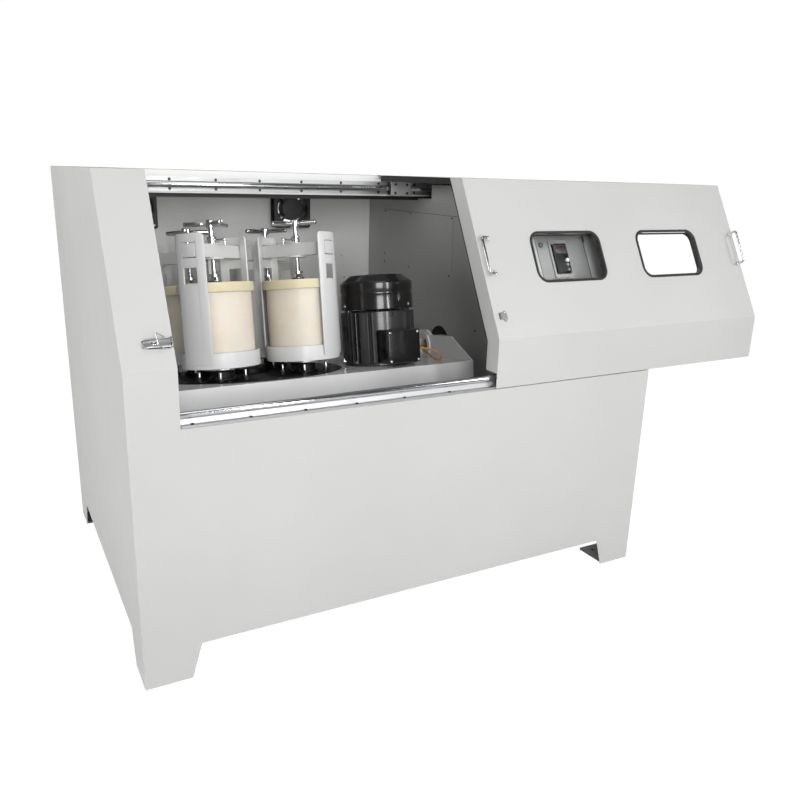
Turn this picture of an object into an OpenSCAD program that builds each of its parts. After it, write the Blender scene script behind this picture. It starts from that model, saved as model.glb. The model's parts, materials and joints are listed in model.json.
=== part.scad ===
// Floor-standing planetary ball mill. Four jar stations stand on a turntable, and the
// turntable and its motor stand on a cradle that turns end over end about a level axis
// inside a sheet-metal cabinet. The cabinet's front door slides sideways on two rails.
// Frame: X to the right seen from the front, -Y is the front, Z up. The origin is on
// the floor under the middle of the cabinet. All lengths are in millimetres.

/* [Cabinet] */
// Overall width of the cabinet
cab_w = 1700; // [1680:10:1800]
// Overall depth of the cabinet
cab_d = 1220; // [1200:10:1300]
// Overall height of the cabinet
cab_h = 1310; // [1300:5:1340]
// Height at which the front starts to lean back
bend_z = 855; // [845:5:865]
// Set-back of the leaning front at the roof
slope_back = 246; // [236:2:256]
// Height of the lower front panel
front_h = 703; // [690:1:710]
// Width of the fixed section at the left
left_w = 127; // [100:1:130]
// Thickness of the cabinet's sheet
sheet_t = 2; // [1.5:0.5:2.5]
// Height of the cut-outs between the feet
foot_h = 98; // [80:2:100]

/* [Sliding door] */
// Length of the sliding door
door_l = 1143; // [1120:1:1160]
// How far the door stands open to the right
door_open = 940; // [900:5:945]
// Width of each window
win_w = 290; // [240:5:300]
// Height of each window
win_h = 172; // [140:2:190]
// Corner radius of each window
win_r = 39; // [20:1:45]

/* [Cradle] */
// Height of the cradle's turning axis above the floor
axis_z = 705; // [700:1:710]
// How far the cradle leans back as it stands
tilt_deg = 9.5; // [0:0.5:20]
// Half depth of the cradle's tray
tray_d = 326; // [315:1:330]
// Left-right place of the turntable's centre
mill_x = -350; // [-355:1:-345]

/* [Turntable and jars] */
// Radius on which the jar stations stand
station_r = 193; // [190:1:196]
// Radius of the turntable's disc
disc_r = 300; // [285:1:302]
// Outer radius of the jar holder's ring
ring_r = 119; // [117:1:120]
// Outer radius of a jar
jar_r = 106; // [98:1:107]
// Inner radius of a jar
jar_bore = 92; // [80:1:94]
// Radius of a jar's lid
lid_r = 115.5; // [112:0.5:116.5]
// Length of each arm of the clamp's star handle
arm_l = 80; // [60:1:84]

/* [Hidden] */
$fn = 64;
eps = 0.01;

hx = cab_w / 2;
fy = -cab_d / 2;
by = cab_d / 2;
slope_l = sqrt(slope_back * slope_back + (cab_h - bend_z) * (cab_h - bend_z));
sb = slope_back / slope_l;              // share of the slope that runs back
su = (cab_h - bend_z) / slope_l;        // share of the slope that runs up
lean = atan2(su, sb);                   // turn that lays Z on the slope's normal
kb = (1 - su) / sb;                     // drop of the bend for each mm of offset
kt = (1 - sb) / su;                     // shift of the roof corner for each mm
door_x0 = -hx + left_w + door_open;     // left end of the open door
door_x1 = door_x0 + door_l;
top_y = 198;                            // rear edge of the door's top
rail_y = fy + 28;                       // lower rail, centre
rail_z = front_h + 27;
trail_y = 150;                          // upper rail, centre
trail_z = cab_h - 44;
ctl = 80;                               // set-back of the control section
part_x = 390;                           // wall between chamber and control section
fan_x = [-582, 22];
fan_z = 1172;
win_x = [561.5, 1014];
win_s = 255;
grey = [0.86, 0.86, 0.85];
station_deg = [226.5, 316.5, 136.5, 46.5];
plate_deg = [-5.5, -11.5, -8, -8];      // turn of each holder about its own axis
lock_deg = [110, 206, -35, -35];          // turn of each crossbar's lock lever
star_deg = [37, 66, 10, 80];            // rest turn of each star handle

// front profile of the cabinet at a depth d under its skin
function prof(d, zb, yr) = [[fy + d, zb], [fy + d, bend_z - kb * d],
    [fy + slope_back + kt * d, cab_h - d], [yr, cab_h - d]];
function rev(p) = [for (i = [len(p) - 1:-1:0]) p[i]];
// front profile of the set-back control section
function cprof(d, zb) = let (o = ctl + d) [[fy + o, zb], [fy + o, bend_z - kb * o],
    [fy + o + (cab_h - 27 - d - (bend_z - kb * o)) * sb / su, cab_h - 27 - d],
    [100 - d, cab_h - 27 - d], [100 - d, cab_h - 78 - d], [204 - 30, cab_h - 78 - d]];

// lays a Y-Z outline across the cabinet from x0 over a width w
module across(x0, w) { translate([x0, 0, 0]) rotate([90, 0, 90]) linear_extrude(w) children(); }
// places children on the leaning front: X, distance s up the slope, Z along its normal
module on_slope(x, s, d = 0) {
    translate([x, fy + sb * s, bend_z + su * s]) rotate([lean, 0, 0])
        translate([0, 0, -d]) children();
}
module tilt() { translate([0, 0, axis_z]) rotate([-tilt_deg, 0, 0]) children(); }
module mill() { tilt() translate([mill_x, 0, 0]) children(); }
module station(k) {
    mill() rotate([0, 0, station_deg[k]]) translate([station_r, 0, 0])
        rotate([0, 0, plate_deg[k]]) children();
}
module rbox2(w, h, r) {
    union() {
        square([w - 2 * r, h], center = true);
        square([w, h - 2 * r], center = true);
        for (i = [-1, 1], j = [-1, 1]) translate([i * (w / 2 - r), j * (h / 2 - r)]) circle(r);
    }
}
module tube_x(l, s = 40, w = 2.5) { rotate([90, 0, 90]) linear_extrude(l) difference() { square(s); translate([w, w]) square(s - 2 * w); } }
module tube_y(l, s = 40, w = 2.5) { translate([0, l, 0]) rotate([90, 0, 0]) linear_extrude(l) difference() { square(s); translate([w, w]) square(s - 2 * w); } }
module tube_z(l, s = 40, w = 2.5) { linear_extrude(l) difference() { square(s); translate([w, w]) square(s - 2 * w); } }

// foot cut-out of a panel: a trapezoid, wf and wt are the foot's widths below and above
module foot_cut(half, wf, wt) { polygon([[-half + wf, -1], [half - wf, -1], [half - wt, foot_h], [-half + wt, foot_h]]); }

// ---------------------------------------------------------------- cabinet
module base_frame() {
    bx = hx - 4;
    yy = by - 4;
    color([0.55, 0.56, 0.57]) {
        // foot plates with anchor holes
        for (i = [-1, 1], j = [-1, 1]) difference() {
            translate([i * (bx - 56), j * (yy - 56), 4]) cube([112, 112, 8], center = true);
            translate([i * 765, j * 525, -1]) cylinder(r = 7, h = 12);
        }
        // corner posts
        for (i = [-1, 1]) {
            translate([i > 0 ? bx - 40 : -bx, -yy, 8]) tube_z(92);
            translate([i > 0 ? bx - 40 : -bx, yy - 40, 8]) tube_z(92);
            translate([i > 0 ? bx - 40 : -bx, -yy, 140]) tube_z(front_h - 145);
            translate([i > 0 ? bx - 40 : -bx, yy - 40, 140]) tube_z(cab_h - 150);
            translate([i > 0 ? bx - 40 : -bx, -yy + 40, 100]) tube_y(2 * yy - 80);
        }
        // floor rails
        for (j = [-yy, yy - 40]) translate([-bx, j, 100]) tube_x(2 * bx);
        // cross rails that carry the right-hand posts
        for (x = [425, 520]) translate([x, -yy + 40, 100]) tube_y(2 * yy - 80);
        // posts of the cradle's bearings and of the gearbox
        translate([-bx, -25, 140]) tube_z(axis_z - 50 - 140, 50, 3);
        translate([420, -25, 140]) tube_z(axis_z - 50 - 140, 50, 3);
        translate([515, -25, 140]) tube_z(axis_z - 107 - 140, 50, 3);
        translate([490, -80, axis_z - 107]) cube([100, 160, 8]);
    }
}

module left_side_panel() {
    color(grey) {
        translate([-hx, 0, 0]) across(0, sheet_t) difference() {
            polygon(concat([[fy, 0]], prof(0, 1, by), [[by, 0]]));
            foot_cut(by, 121, 161);
        }
    }
}

module lower_front_panel() {
    color(grey) {
        translate([0, fy + sheet_t, 0]) rotate([90, 0, 0]) linear_extrude(sheet_t) difference() {
            translate([-hx + sheet_t, 0]) square([cab_w - 2 * sheet_t, front_h]);
            foot_cut(hx, 124, 153);
        }
        translate([-hx + sheet_t, fy + sheet_t - eps, front_h - sheet_t]) cube([cab_w - 2 * sheet_t, ctl - sheet_t, sheet_t]);
        translate([-hx + sheet_t, fy + ctl - sheet_t, front_h - 32]) cube([cab_w - 2 * sheet_t, sheet_t, 32 - sheet_t / 2]);
        // fixed section at the left, in one sheet with the panel, and its return flange
        across(-hx + sheet_t, left_w - sheet_t) polygon(concat(prof(0, front_h - 1, top_y), rev(prof(sheet_t, front_h - 1, top_y))));
        across(-hx + left_w - sheet_t, sheet_t) difference() {
            polygon(concat(prof(sheet_t - eps, front_h + 12, 96), rev(prof(62, front_h + 12, 96))));
            translate([-332, cab_h - 200]) square([532, 180]);
        }
    }
}

module right_side_panel() {
    c = cprof(0, front_h);
    color(grey) across(hx - sheet_t, sheet_t) difference() {
        polygon([[fy, 0], [fy, front_h], c[0], c[1], c[2], c[3], c[4], [198, cab_h - 78], [198, cab_h - 87], [203.5, cab_h - 87],
            [203.5, cab_h], [by, cab_h], [by, 0]]);
        foot_cut(by, 121, 161);
    }
}

module rear_roof_panel() {
    w = cab_w - 2 * sheet_t;
    color(grey) {
        translate([0, by, 0]) rotate([90, 0, 0]) linear_extrude(sheet_t) difference() {
            translate([-w / 2, 0]) square([w, cab_h]);
            foot_cut(hx, 124, 153);
            for (x = fan_x) translate([x, fan_z]) circle(60);
        }
        // roof with its front lip
        translate([-w / 2, 200, cab_h - sheet_t]) cube([w, by - 200 - sheet_t + eps, sheet_t]);
        translate([-w / 2, 200, cab_h - 86]) cube([w, sheet_t, 86 - sheet_t / 2]);
        // rail beam: a channel in front of the lip
        across(-w / 2, w) polygon([[177, cab_h - 72], [200.5, cab_h - 72], [200.5, cab_h - 70], [179, cab_h - 70],
            [179, cab_h - 16], [200.5, cab_h - 16], [200.5, cab_h - 14], [177, cab_h - 14]]);
    }
}

module control_housing() {
    color([0.78, 0.78, 0.77]) {
        // partition with the round opening for the cradle's shaft
        across(part_x, sheet_t) difference() {
            polygon(concat([[fy + ctl + 2, 150]], [for (i = [0:3]) cprof(1.9, front_h)[i]],
                [[98.1, cab_h - 79.9], [198, cab_h - 79.9], [198, cab_h - 87], [204, cab_h - 87], [204, cab_h - 4], [by - 4, cab_h - 4], [by - 4, 150]]));
            translate([0, axis_z]) circle(69);
        }
        // set-back front, roof and rail trough, open where the small door sits
        difference() {
            across(part_x + sheet_t - eps, hx - part_x - 2 * sheet_t)
                polygon(concat(cprof(0, front_h + 0.5), rev(cprof(sheet_t, front_h + 0.5))));
            on_slope(608, 222, ctl + 10) translate([-96, -170, 0]) cube([192, 340, 20]);
        }
        // screwed cover on the chamber side
        across(part_x - 1.5, 1.5 + eps) polygon([[-60, 960], [-60, 1178], [470, 1178], [470, 960]]);
    }
}

module rail_support2() {
    difference() {
        polygon([[-22.5, 0], [22.5, 0], [22.5, 6], [9, 6], [5, 19.5], [-5, 19.5], [-9, 6], [-22.5, 6]]);
        translate([0, 27]) circle(10.08);
    }
}
module rail_supports() {
    l = hx - 10 - (-hx + left_w + 3);
    color([0.83, 0.84, 0.85]) {
        translate([-hx + left_w + 3, rail_y, front_h]) rotate([90, 0, 90]) linear_extrude(l) rail_support2();
        across(-hx + left_w + 3, l) translate([177, trail_z]) rotate(90) rail_support2();
    }
}
module rail_rods() {
    l = hx - 10 - (-hx + left_w + 3);
    color([0.9, 0.91, 0.92]) {
        translate([-hx + left_w + 3, rail_y, rail_z]) rotate([0, 90, 0]) cylinder(r = 10, h = l);
        translate([-hx + left_w + 3, trail_y, trail_z]) rotate([0, 90, 0]) cylinder(r = 10, h = l);
    }
}

module pan_head(r = 4.5, h = 3) { cylinder(r = r, h = h, $fn = 24); }
module screws() {
    color([0.8, 0.8, 0.8]) {
        for (i = [0:10], j = [-15, 15]) {
            translate([-691 + 150 * i, rail_y + j, front_h + 6]) pan_head();
            translate([-694 + 150 * i, 171, trail_z + j]) rotate([90, 0, 0]) pan_head();
        }
        // cover screws on the chamber's right wall
        for (p = [[455, 1171], [247, 1171], [-50, 1171], [455, 1000], [455, 967], [-50, 967], [247, 967]])
            translate([part_x - 1.5, p[0], p[1]]) rotate([0, -90, 0]) pan_head(3.5, 2);
        translate([part_x, -232, 799]) rotate([0, -90, 0]) pan_head(3.5, 2);
        for (p = [[260, 979], [274, 885]]) translate([p[0], by - sheet_t, p[1]]) rotate([90, 0, 0]) pan_head(3.5, 2);
    }
}

// axial fan: a square frame with a round duct, its rear struts and hub
module fan_housings() {
    color([0.08, 0.08, 0.08]) for (x = fan_x) translate([x, by - sheet_t, fan_z]) rotate([90, 0, 0]) {
        difference() {
            linear_extrude(51) difference() { rbox2(150, 150, 10); circle(62); }
            for (i = [-1, 1], j = [-1, 1]) translate([i * 62.25, j * 62.25, -1]) cylinder(r = 2.5, h = 60, $fn = 24);
        }
        // spider that carries the rotor, on the chamber's side
        translate([0, 0, 46]) linear_extrude(5) union() { circle(44); for (a = [45:90:315]) rotate(a) translate([40, -4]) square([24, 8]); }
        translate([0, 0, 36]) cylinder(r = 4, h = 12);
    }
}
module fan_rotor(x) {
    color([0.12, 0.12, 0.12]) translate([x, by - sheet_t, fan_z]) rotate([90, 0, 0]) {
        difference() {
            translate([0, 0, 8]) cylinder(r = 46, h = 34);
            translate([0, 0, 35]) cylinder(r = 4.05, h = 8);
        }
        for (a = [0:72:359]) rotate(a) translate([51, 0, 25]) rotate([35, 0, 0]) cube([18, 28, 3], center = true);
    }
}
module fan_rotor_left() { fan_rotor(fan_x[0]); }
module fan_rotor_right() { fan_rotor(fan_x[1]); }

// ---------------------------------------------------------------- toggle latch
latch_x = -729;
latch_s = 65.5;
module latch_base() {
    color([0.78, 0.78, 0.78]) on_slope(latch_x, latch_s, -0.02) {
        translate([-56, -12, 0]) cube([56, 24, 1.6]);
        translate([-8, -13.6, 0]) cube([13, 27.2, 1.6]);
        // ears with the lever's pin
        for (j = [-13.6, 12]) translate([-5, j, 0]) cube([9, 1.6, 11.5]);
        translate([0, 13, 8]) rotate([90, 0, 0]) cylinder(r = 1.5, h = 26, $fn = 24);
        for (x = [-48, -14]) translate([x, 0, 1.6]) cylinder(r = 3, h = 1.6, $fn = 24);
    }
}
module latch_lever() {
    color([0.85, 0.85, 0.86]) on_slope(latch_x, latch_s, -0.02) {
        difference() {
            union() {
                translate([0, 11.2, 8]) rotate([90, 0, 0]) cylinder(r = 3.6, h = 22.4, $fn = 32);
                // long plate with a lowered thumb end
                translate([0, 11.2, 0]) rotate([90, 0, 0]) linear_extrude(22.4)
                    polygon([[-65, 7], [-58, 7.6], [-46, 9.4], [0, 10], [0, 11.6], [-46, 11], [-58, 9.2], [-65, 8.6]]);
                for (j = [-11.2, 9.6]) translate([-46, j, 6]) cube([47, 1.6, 4.6]);
                translate([-40, 0, 10]) cylinder(r = 3.4, h = 2.4, $fn = 24);
            }
            translate([0, 20, 8]) rotate([90, 0, 0]) cylinder(r = 1.55, h = 40, $fn = 24);
            // seats of the bail's ends
            translate([-15, 20, 8]) rotate([90, 0, 0]) cylinder(r = 1.35, h = 40, $fn = 24);
        }
    }
}
module latch_bail() {
    color([0.8, 0.8, 0.8]) on_slope(latch_x, latch_s, -0.02) translate([-15, 0, 8]) {
        rotate([0, -123, 0]) for (j = [-1, 1]) {
            translate([0, j * 9, 0]) rotate([-j * 90, 0, 0]) cylinder(r = 1.25, h = 7.6, $fn = 24);
            translate([0, j * 15.4, 0]) rotate([0, 90, 0]) cylinder(r = 1.25, h = 43.5, $fn = 24);
            translate([43, -0.1 * j, 0]) rotate([-j * 90, 0, 0]) cylinder(r = 1.25, h = 16.6, $fn = 24);
        }
    }
}

// ---------------------------------------------------------------- sliding door
module win2(i, g) { translate([win_x[i], win_s]) rbox2(win_w - 2 * g, win_h - 2 * g, win_r - g); }
// inner edge of a side return at depth d and height z
function ret_y(d, z) = fy + sb * (z - bend_z + sb * d) / su + su * d;
module door_shell() {
    color(grey) {
        difference() {
            across(door_x0, door_l) polygon(concat(prof(0, front_h + 3, top_y), rev(prof(sheet_t, front_h + 3, top_y))));
            for (i = [0, 1]) on_slope(0, 0, 10) linear_extrude(20) win2(i, 5);
        }
        // side returns
        for (e = [[door_x0, 64], [door_x1 - sheet_t, 44]]) across(e[0], sheet_t) difference() {
            polygon(concat(prof(sheet_t - eps, front_h + 48, 172), rev(prof(e[1], front_h + 48, 172))));
            if (e[1] > 60) polygon([[ret_y(e[1], cab_h - 120) - 0.2, cab_h - 120], [ret_y(e[1], cab_h - 20) - 0.2, cab_h - 20],
                [308, cab_h - 20], [308, cab_h - 120]]);
            else translate([-332, cab_h - 120]) square([640, 100]);
        }
        // channel along the bottom that the lower carriages carry
        translate([door_x0 + eps, fy + sheet_t - eps, front_h + 48]) cube([door_l - 2 * eps, 58, sheet_t]);
        // feet of the two folding handles
        for (x = [door_x0 + 36, door_x1 - 22], s = [-50.5, 50.5]) on_slope(x, 261 + s) difference() {
            union() { translate([0, 0, -eps]) cylinder(r = 9, h = 2.4); translate([-5, -3.6, 0]) cube([10, 7.2, 13]); }
            translate([0, 10, 8]) rotate([90, 0, 0]) cylinder(r = 2.6, h = 20, $fn = 24);
        }
    }
}
module window_gaskets() {
    color([0.06, 0.06, 0.06]) for (i = [0, 1]) on_slope(0, 0) {
        linear_extrude(3) difference() { win2(i, 0); win2(i, 9); }
        translate([0, 0, -sheet_t]) linear_extrude(sheet_t) difference() { win2(i, 5); win2(i, 9); }
        translate([0, 0, -sheet_t - 3]) linear_extrude(3) difference() { win2(i, 0); win2(i, 9); }
        // deep inner lip
        translate([0, 0, -19]) linear_extrude(15) difference() { win2(i, 6.6); win2(i, 9); }
    }
}
module window_panes() {
    color([0.85, 0.92, 0.95, 0.35]) for (i = [0, 1]) on_slope(0, 0) translate([0, 0, -3.5]) linear_extrude(5) win2(i, 9);
}
module block2() {
    difference() {
        translate([-24, -16]) square([48, 37]);
        circle(10.06);
        polygon([[-6.5, -5], [6.5, -5], [11, -19], [-11, -19]]);
    }
}
carriage_x = [276, 760];
module door_carriages() {
    color([0.62, 0.63, 0.64]) for (x = carriage_x) {
        translate([x - 35, rail_y, rail_z]) rotate([90, 0, 90]) linear_extrude(70) block2();
        // upper block faces the front; its bracket reaches up to the door's top
        across(x - 35, 70) translate([trail_y, trail_z]) rotate(90) block2();
        translate([x - 40, 124, trail_z - 24]) cube([80, 5, cab_h - sheet_t - trail_z + 24]);
        translate([x - 40, 60, cab_h - sheet_t - 4]) cube([80, 65, 4]);
    }
}
module latch_keeper() {
    color([0.72, 0.72, 0.72]) on_slope(door_x0 + 38, 71, -0.02) {
        linear_extrude(1.6) difference() {
            polygon([[-20, -10], [-8, -10], [-1, -17], [4, -17], [9, -6], [9, 6], [4, 17], [-1, 17], [-8, 10], [-20, 10]]);
            for (j = [-12, 12]) translate([1, j]) circle(r = 2, $fn = 24);
        }
        // hook that takes the bail's bar
        translate([-20, -10, 1]) cube([2, 20, 9]);
        translate([-20, -10, 8.6]) cube([7, 20, 1.8]);
    }
}
// bow handle: two eyes on the pivots, two legs and a bar
module bow() {
    difference() {
        union() {
            for (s = [-50.5, 50.5]) translate([0, s + (s > 0 ? 1 : -1) * 4.3, 0]) {
                rotate([s > 0 ? -90 : 90, 0, 0]) cylinder(r = 5, h = 7);
                translate([0, s > 0 ? 3.5 : -3.5, 0]) cylinder(r = 4, h = 28);
                translate([0, s > 0 ? 3.5 : -3.5, 28]) sphere(r = 4, $fn = 32);
            }
            translate([0, 58.3, 28]) rotate([90, 0, 0]) cylinder(r = 4, h = 116.6);
        }
    }
    for (s = [-1, 1]) translate([0, s * 54.9, 0]) rotate([s * 90, 0, 0]) cylinder(r = 2.5, h = 8.4);
}
module door_handle_left() { color([0.82, 0.83, 0.84]) on_slope(door_x0 + 36, 261) translate([0, 0, 8]) rotate([0, -70, 0]) bow(); }
module door_handle_right() { color([0.82, 0.83, 0.84]) on_slope(door_x1 - 22, 261) translate([0, 0, 8]) bow(); }

// ---------------------------------------------------------------- control section
module control_door() {
    color([0.8, 0.8, 0.79]) on_slope(608, 222, ctl) {
        difference() {
            translate([-103, -178, 0.3]) cube([204, 356, 2]);
            translate([-18, 52.5, 0]) translate([-30, -52.2, -1]) cube([60, 104.4, 5]);
            for (s = [104, -72]) translate([-85, s, -1]) cylinder(r = 9.1, h = 6);
        }
        // quarter-turn locks
        for (s = [104, -72]) translate([-85, s, -8]) { cylinder(r = 9, h = 12); translate([-3, -12, 0]) cube([6, 24, 3]); }
        // hinge leaf and knuckles
        for (s = [-140, 110]) translate([101.2, s, 3.6]) rotate([-90, 0, 0]) cylinder(r = 3.2, h = 40, $fn = 32);
    }
}
module keypad() {
    color([0.1, 0.1, 0.11]) on_slope(590, 274.5, ctl) {
        translate([0, 0, 2.3]) linear_extrude(5) difference() { rbox2(75, 132, 5); square([58, 102], center = true); }
        difference() {
            translate([0, 0, -10]) linear_extrude(24) square([59.6, 104], center = true);
            translate([15, -9, 8]) cylinder(r = 4.1, h = 10);
        }
        // keys, display window and frame
        for (s = [-23, -40]) {
            translate([17, s, 13.9]) cylinder(r = 4.6, h = 1.8, $fn = 32);
            for (x = [-17, 0]) translate([x, s, 13.9]) cylinder(r = 2.4, h = 1.6, $fn = 24);
        }
        translate([-24, 18, 13.9]) cube([48, 26, 1.2]);
    }
}
module keypad_knob() {
    color([0.7, 0.71, 0.72]) on_slope(605, 265.5, ctl) {
        translate([0, 0, 14.4]) cylinder(r = 6.5, h = 9);
        translate([0, 0, 9]) cylinder(r = 4, h = 6);
        translate([-0.8, 1, 23]) cube([1.6, 5, 1]);
    }
}

// ---------------------------------------------------------------- cradle
module trunnion_bearings() {
    color([0.2, 0.32, 0.28]) {
        translate([-840, 0, axis_z]) rotate([90, 0, 90]) linear_extrude(36) difference() {
            union() { circle(44); translate([-44, -50]) square([88, 50]); translate([-75, -50]) square([150, 16]); }
            circle(25.05);
        }
        translate([424, 0, axis_z]) rotate([90, 0, 90]) linear_extrude(42) difference() {
            union() { circle(52); translate([-44, -50]) square([88, 50]); translate([-85, -50]) square([170, 16]); }
            circle(35.05);
        }
    }
}
module tilt_gearbox() {
    color([0.35, 0.42, 0.5]) {
        difference() {
            union() {
                translate([500, -75, axis_z - 99]) cube([80, 150, 180]);
                // worm motor
                translate([540, -70, axis_z - 36]) rotate([90, 0, 0]) cylinder(r = 60, h = 12);
                translate([540, -80, axis_z - 36]) rotate([90, 0, 0]) cylinder(r = 56, h = 190);
                translate([510, -230, axis_z + 12]) cube([60, 90, 34]);
            }
            translate([490, 0, axis_z]) rotate([0, 90, 0]) cylinder(r = 35.05, h = 110);
        }
        // slip ring for the motor's supply
        translate([600, 0, axis_z]) rotate([0, 90, 0]) difference() { cylinder(r = 52, h = 44); translate([0, 0, -1]) cylinder(r = 35.3, h = 46); }
        translate([578, -20, axis_z - 60]) cube([30, 40, 16]);
    }
}

motor_x = 82;
motor_t = -105;
deck_h = -39;
module cradle_tray() {
    x0 = -770;
    x1 = 316;
    color([0.66, 0.67, 0.68]) tilt() {
        difference() {
            union() {
                translate([x0, -tray_d, deck_h - 3]) cube([x1 - x0, 2 * tray_d, 3]);
                // front and rear aprons, and the shelf of the spindle housing
                for (t = [-tray_d, tray_d - 3]) translate([x0, t, -145]) cube([x1 - x0, 3, 145 + deck_h - 1]);
                translate([x0, -tray_d + 2, -104]) cube([760, 2 * tray_d - 4, 6]);
            }
            translate([mill_x, 0, deck_h - 10]) cylinder(r = 304, h = 20);
            translate([mill_x, 0, -110]) cylinder(r = 45.05, h = 20);
            translate([motor_x, motor_t, -60]) cylinder(r = 40, h = 40);
        }
        // end plates
        for (x = [x0 - 6, x1]) translate([x, 0, 0]) rotate([90, 0, 90]) linear_extrude(6) difference() {
            polygon([[-tray_d, -145], [-tray_d, deck_h], [-199, 40], [199, 40], [tray_d, deck_h], [tray_d, -145]]);
            if (x > 0) circle(34);
        }
        // trunnions: solid at the left, hollow at the right
        translate([x0 - 20, 0, 0]) rotate([0, 90, 0]) cylinder(r = 55, h = 14 + eps);
        translate([x0 - 72, 0, 0]) rotate([0, 90, 0]) cylinder(r = 25, h = 52 + eps);
        rotate([0, 90, 0]) {
            difference() {
                union() {
                    translate([0, 0, x1 + 6 - eps]) cylinder(r = 60, h = 14);
                    translate([0, 0, x1 + 20 - eps]) cylinder(r = 35, h = 650 - x1 - 20);
                    // pale ring around the opening, cut off level with the plate's top
                    difference() {
                        translate([0, 0, x1 - 6]) cylinder(r = 60, h = 6 + eps);
                        translate([0, 0, x1 - 7]) cylinder(r = 46, h = 9);
                        translate([-100, -70, x1 - 7]) cube([60, 140, 7 - eps]);
                        translate([-deck_h - 1, -70, x1 - 7]) cube([60, 140, 7 - eps]);
                    }
                }
                translate([0, 0, x1 - 20]) cylinder(r = 34, h = 34);
                translate([0, 0, x1 - 20]) cylinder(r = 24, h = 400);
            }
        }
    }
}

// fixed pulley in the middle: it carries the main spindle and the four planet belts
sun_levels = [-61, -71, -81, -91];
module sun_pulley() {
    color([0.5, 0.51, 0.52]) mill() difference() {
        union() {
            translate([0, 0, -98]) cylinder(r = 92, h = 44, $fn = 96);
            translate([0, 0, -104]) cylinder(r = 45, h = 8);
            for (i = [0:4]) translate([0, 0, -96.9 + 10 * i]) cylinder(r = 100, h = 1.8, $fn = 96);
        }
        translate([0, 0, -110]) cylinder(r = 30.05, h = 60, $fn = 96);
    }
}

// outline of a belt around two pulleys, r1 at the middle and r2 at distance c along X
function loop_pts(r1, r2, c, n = 24) = let (a = acos((r1 - r2) / c)) concat(
    [for (i = [0:n]) let (t = a + (360 - 2 * a) * i / n) [r1 * cos(t), r1 * sin(t)]],
    [for (i = [0:n]) let (t = -a + 2 * a * i / n) [c + r2 * cos(t), r2 * sin(t)]]);
module belt2(r1, r2, c, t, n = 24) { difference() { polygon(loop_pts(r1 + t, r2 + t, c, n)); polygon(loop_pts(r1, r2, c, n)); } }
module planet_belts() {
    color([0.1, 0.1, 0.1]) for (k = [0:3]) mill() rotate([0, 0, station_deg[k]])
        translate([0, 0, sun_levels[k] - 3.5]) linear_extrude(7) belt2(92.8, 45.1, station_r, 6, 40);
}

drive_levels = [-116, -131];
module drive_belts() {
    c = sqrt((motor_x - mill_x) * (motor_x - mill_x) + motor_t * motor_t);
    color([0.08, 0.08, 0.08]) mill() rotate([0, 0, atan2(motor_t, motor_x - mill_x)])
        for (h = drive_levels) translate([0, 0, h - 4.5]) linear_extrude(9) belt2(140.8, 30.4, c, 8, 48);
}

module turntable() {
    color([0.07, 0.07, 0.08]) mill() {
        difference() {
            union() {
                translate([0, 0, -49]) cylinder(r = disc_r, h = 12, $fn = 128);
                // bearing bosses of the planet shafts
                for (k = [0:3]) rotate([0, 0, station_deg[k]]) translate([station_r, 0, -38]) cylinder(r = 36, h = 28);
                translate([0, 0, -38]) cylinder(r = 50, h = 16);
                // studs around each boss, bolts around the rim
                for (k = [0:3], a = [22.5:90:359]) rotate([0, 0, station_deg[k]]) translate([station_r, 0, -37.5])
                    rotate([0, 0, a]) translate([70, 0, 0]) cylinder(r = 6, h = 27.5, $fn = 24);
                for (a = [0:30:359]) rotate([0, 0, a]) translate([0, 0, -37.5]) translate([286, 0, 0]) cylinder(r = 5, h = 5, $fn = 6);
                // main spindle and its driven pulley
                translate([0, 0, -142]) cylinder(r = 30, h = 94, $fn = 96);
                translate([0, 0, -140]) cylinder(r = 140, h = 33, $fn = 96);
                for (h = [-140, -124.5, -109]) translate([0, 0, h]) cylinder(r = 150, h = 2, $fn = 96);
            }
            for (k = [0:3]) rotate([0, 0, station_deg[k]]) translate([station_r, 0, -60]) cylinder(r = 17.05, h = 60);
        }
    }
}

// ---------------------------------------------------------------- main motor
module motor_at() { tilt() translate([motor_x, motor_t, 0]) children(); }
module motor_stator() {
    color([0.07, 0.07, 0.08]) motor_at() difference() {
        union() {
            translate([0, 0, deck_h]) cylinder(r = 120, h = 10);
            translate([0, 0, deck_h + 10]) cylinder(r = 108, h = 174, $fn = 96);
            // cooling fins, the flat pad beside them and the lugs that hold the cowl
            for (a = [0:9:359]) if ((a < 240 || a > 300) && (a < 211 || a > 230)) rotate([0, 0, a]) translate([106, -1.3, deck_h + 8]) cube([19, 2.6, 170]);
            rotate([0, 0, 220.5]) translate([98, -16, deck_h + 7]) cube([26, 32, 170]);
            for (a = [62, 182, 302]) rotate([0, 0, a]) translate([100, -12, 141]) cube([19.4, 24, 14]);
            // terminal box on the front
            translate([-61, -181, -30]) cube([122, 85, 112]);
            translate([-58, -184, -27]) cube([116, 4, 106]);
            for (x = [-53, 53], h = [-22, 74]) translate([x, -183.5, h]) rotate([90, 0, 0]) cylinder(r = 3.5, h = 2.5, $fn = 24);
            // cable gland
            translate([60, -140, 12]) rotate([0, 90, 0]) cylinder(r = 13, h = 15, $fn = 6);
        }
        translate([0, 0, -60]) cylinder(r = 14.05, h = 240);
        translate([60, -140, 12]) rotate([0, 90, 0]) cylinder(r = 4, h = 20);
    }
}
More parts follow.
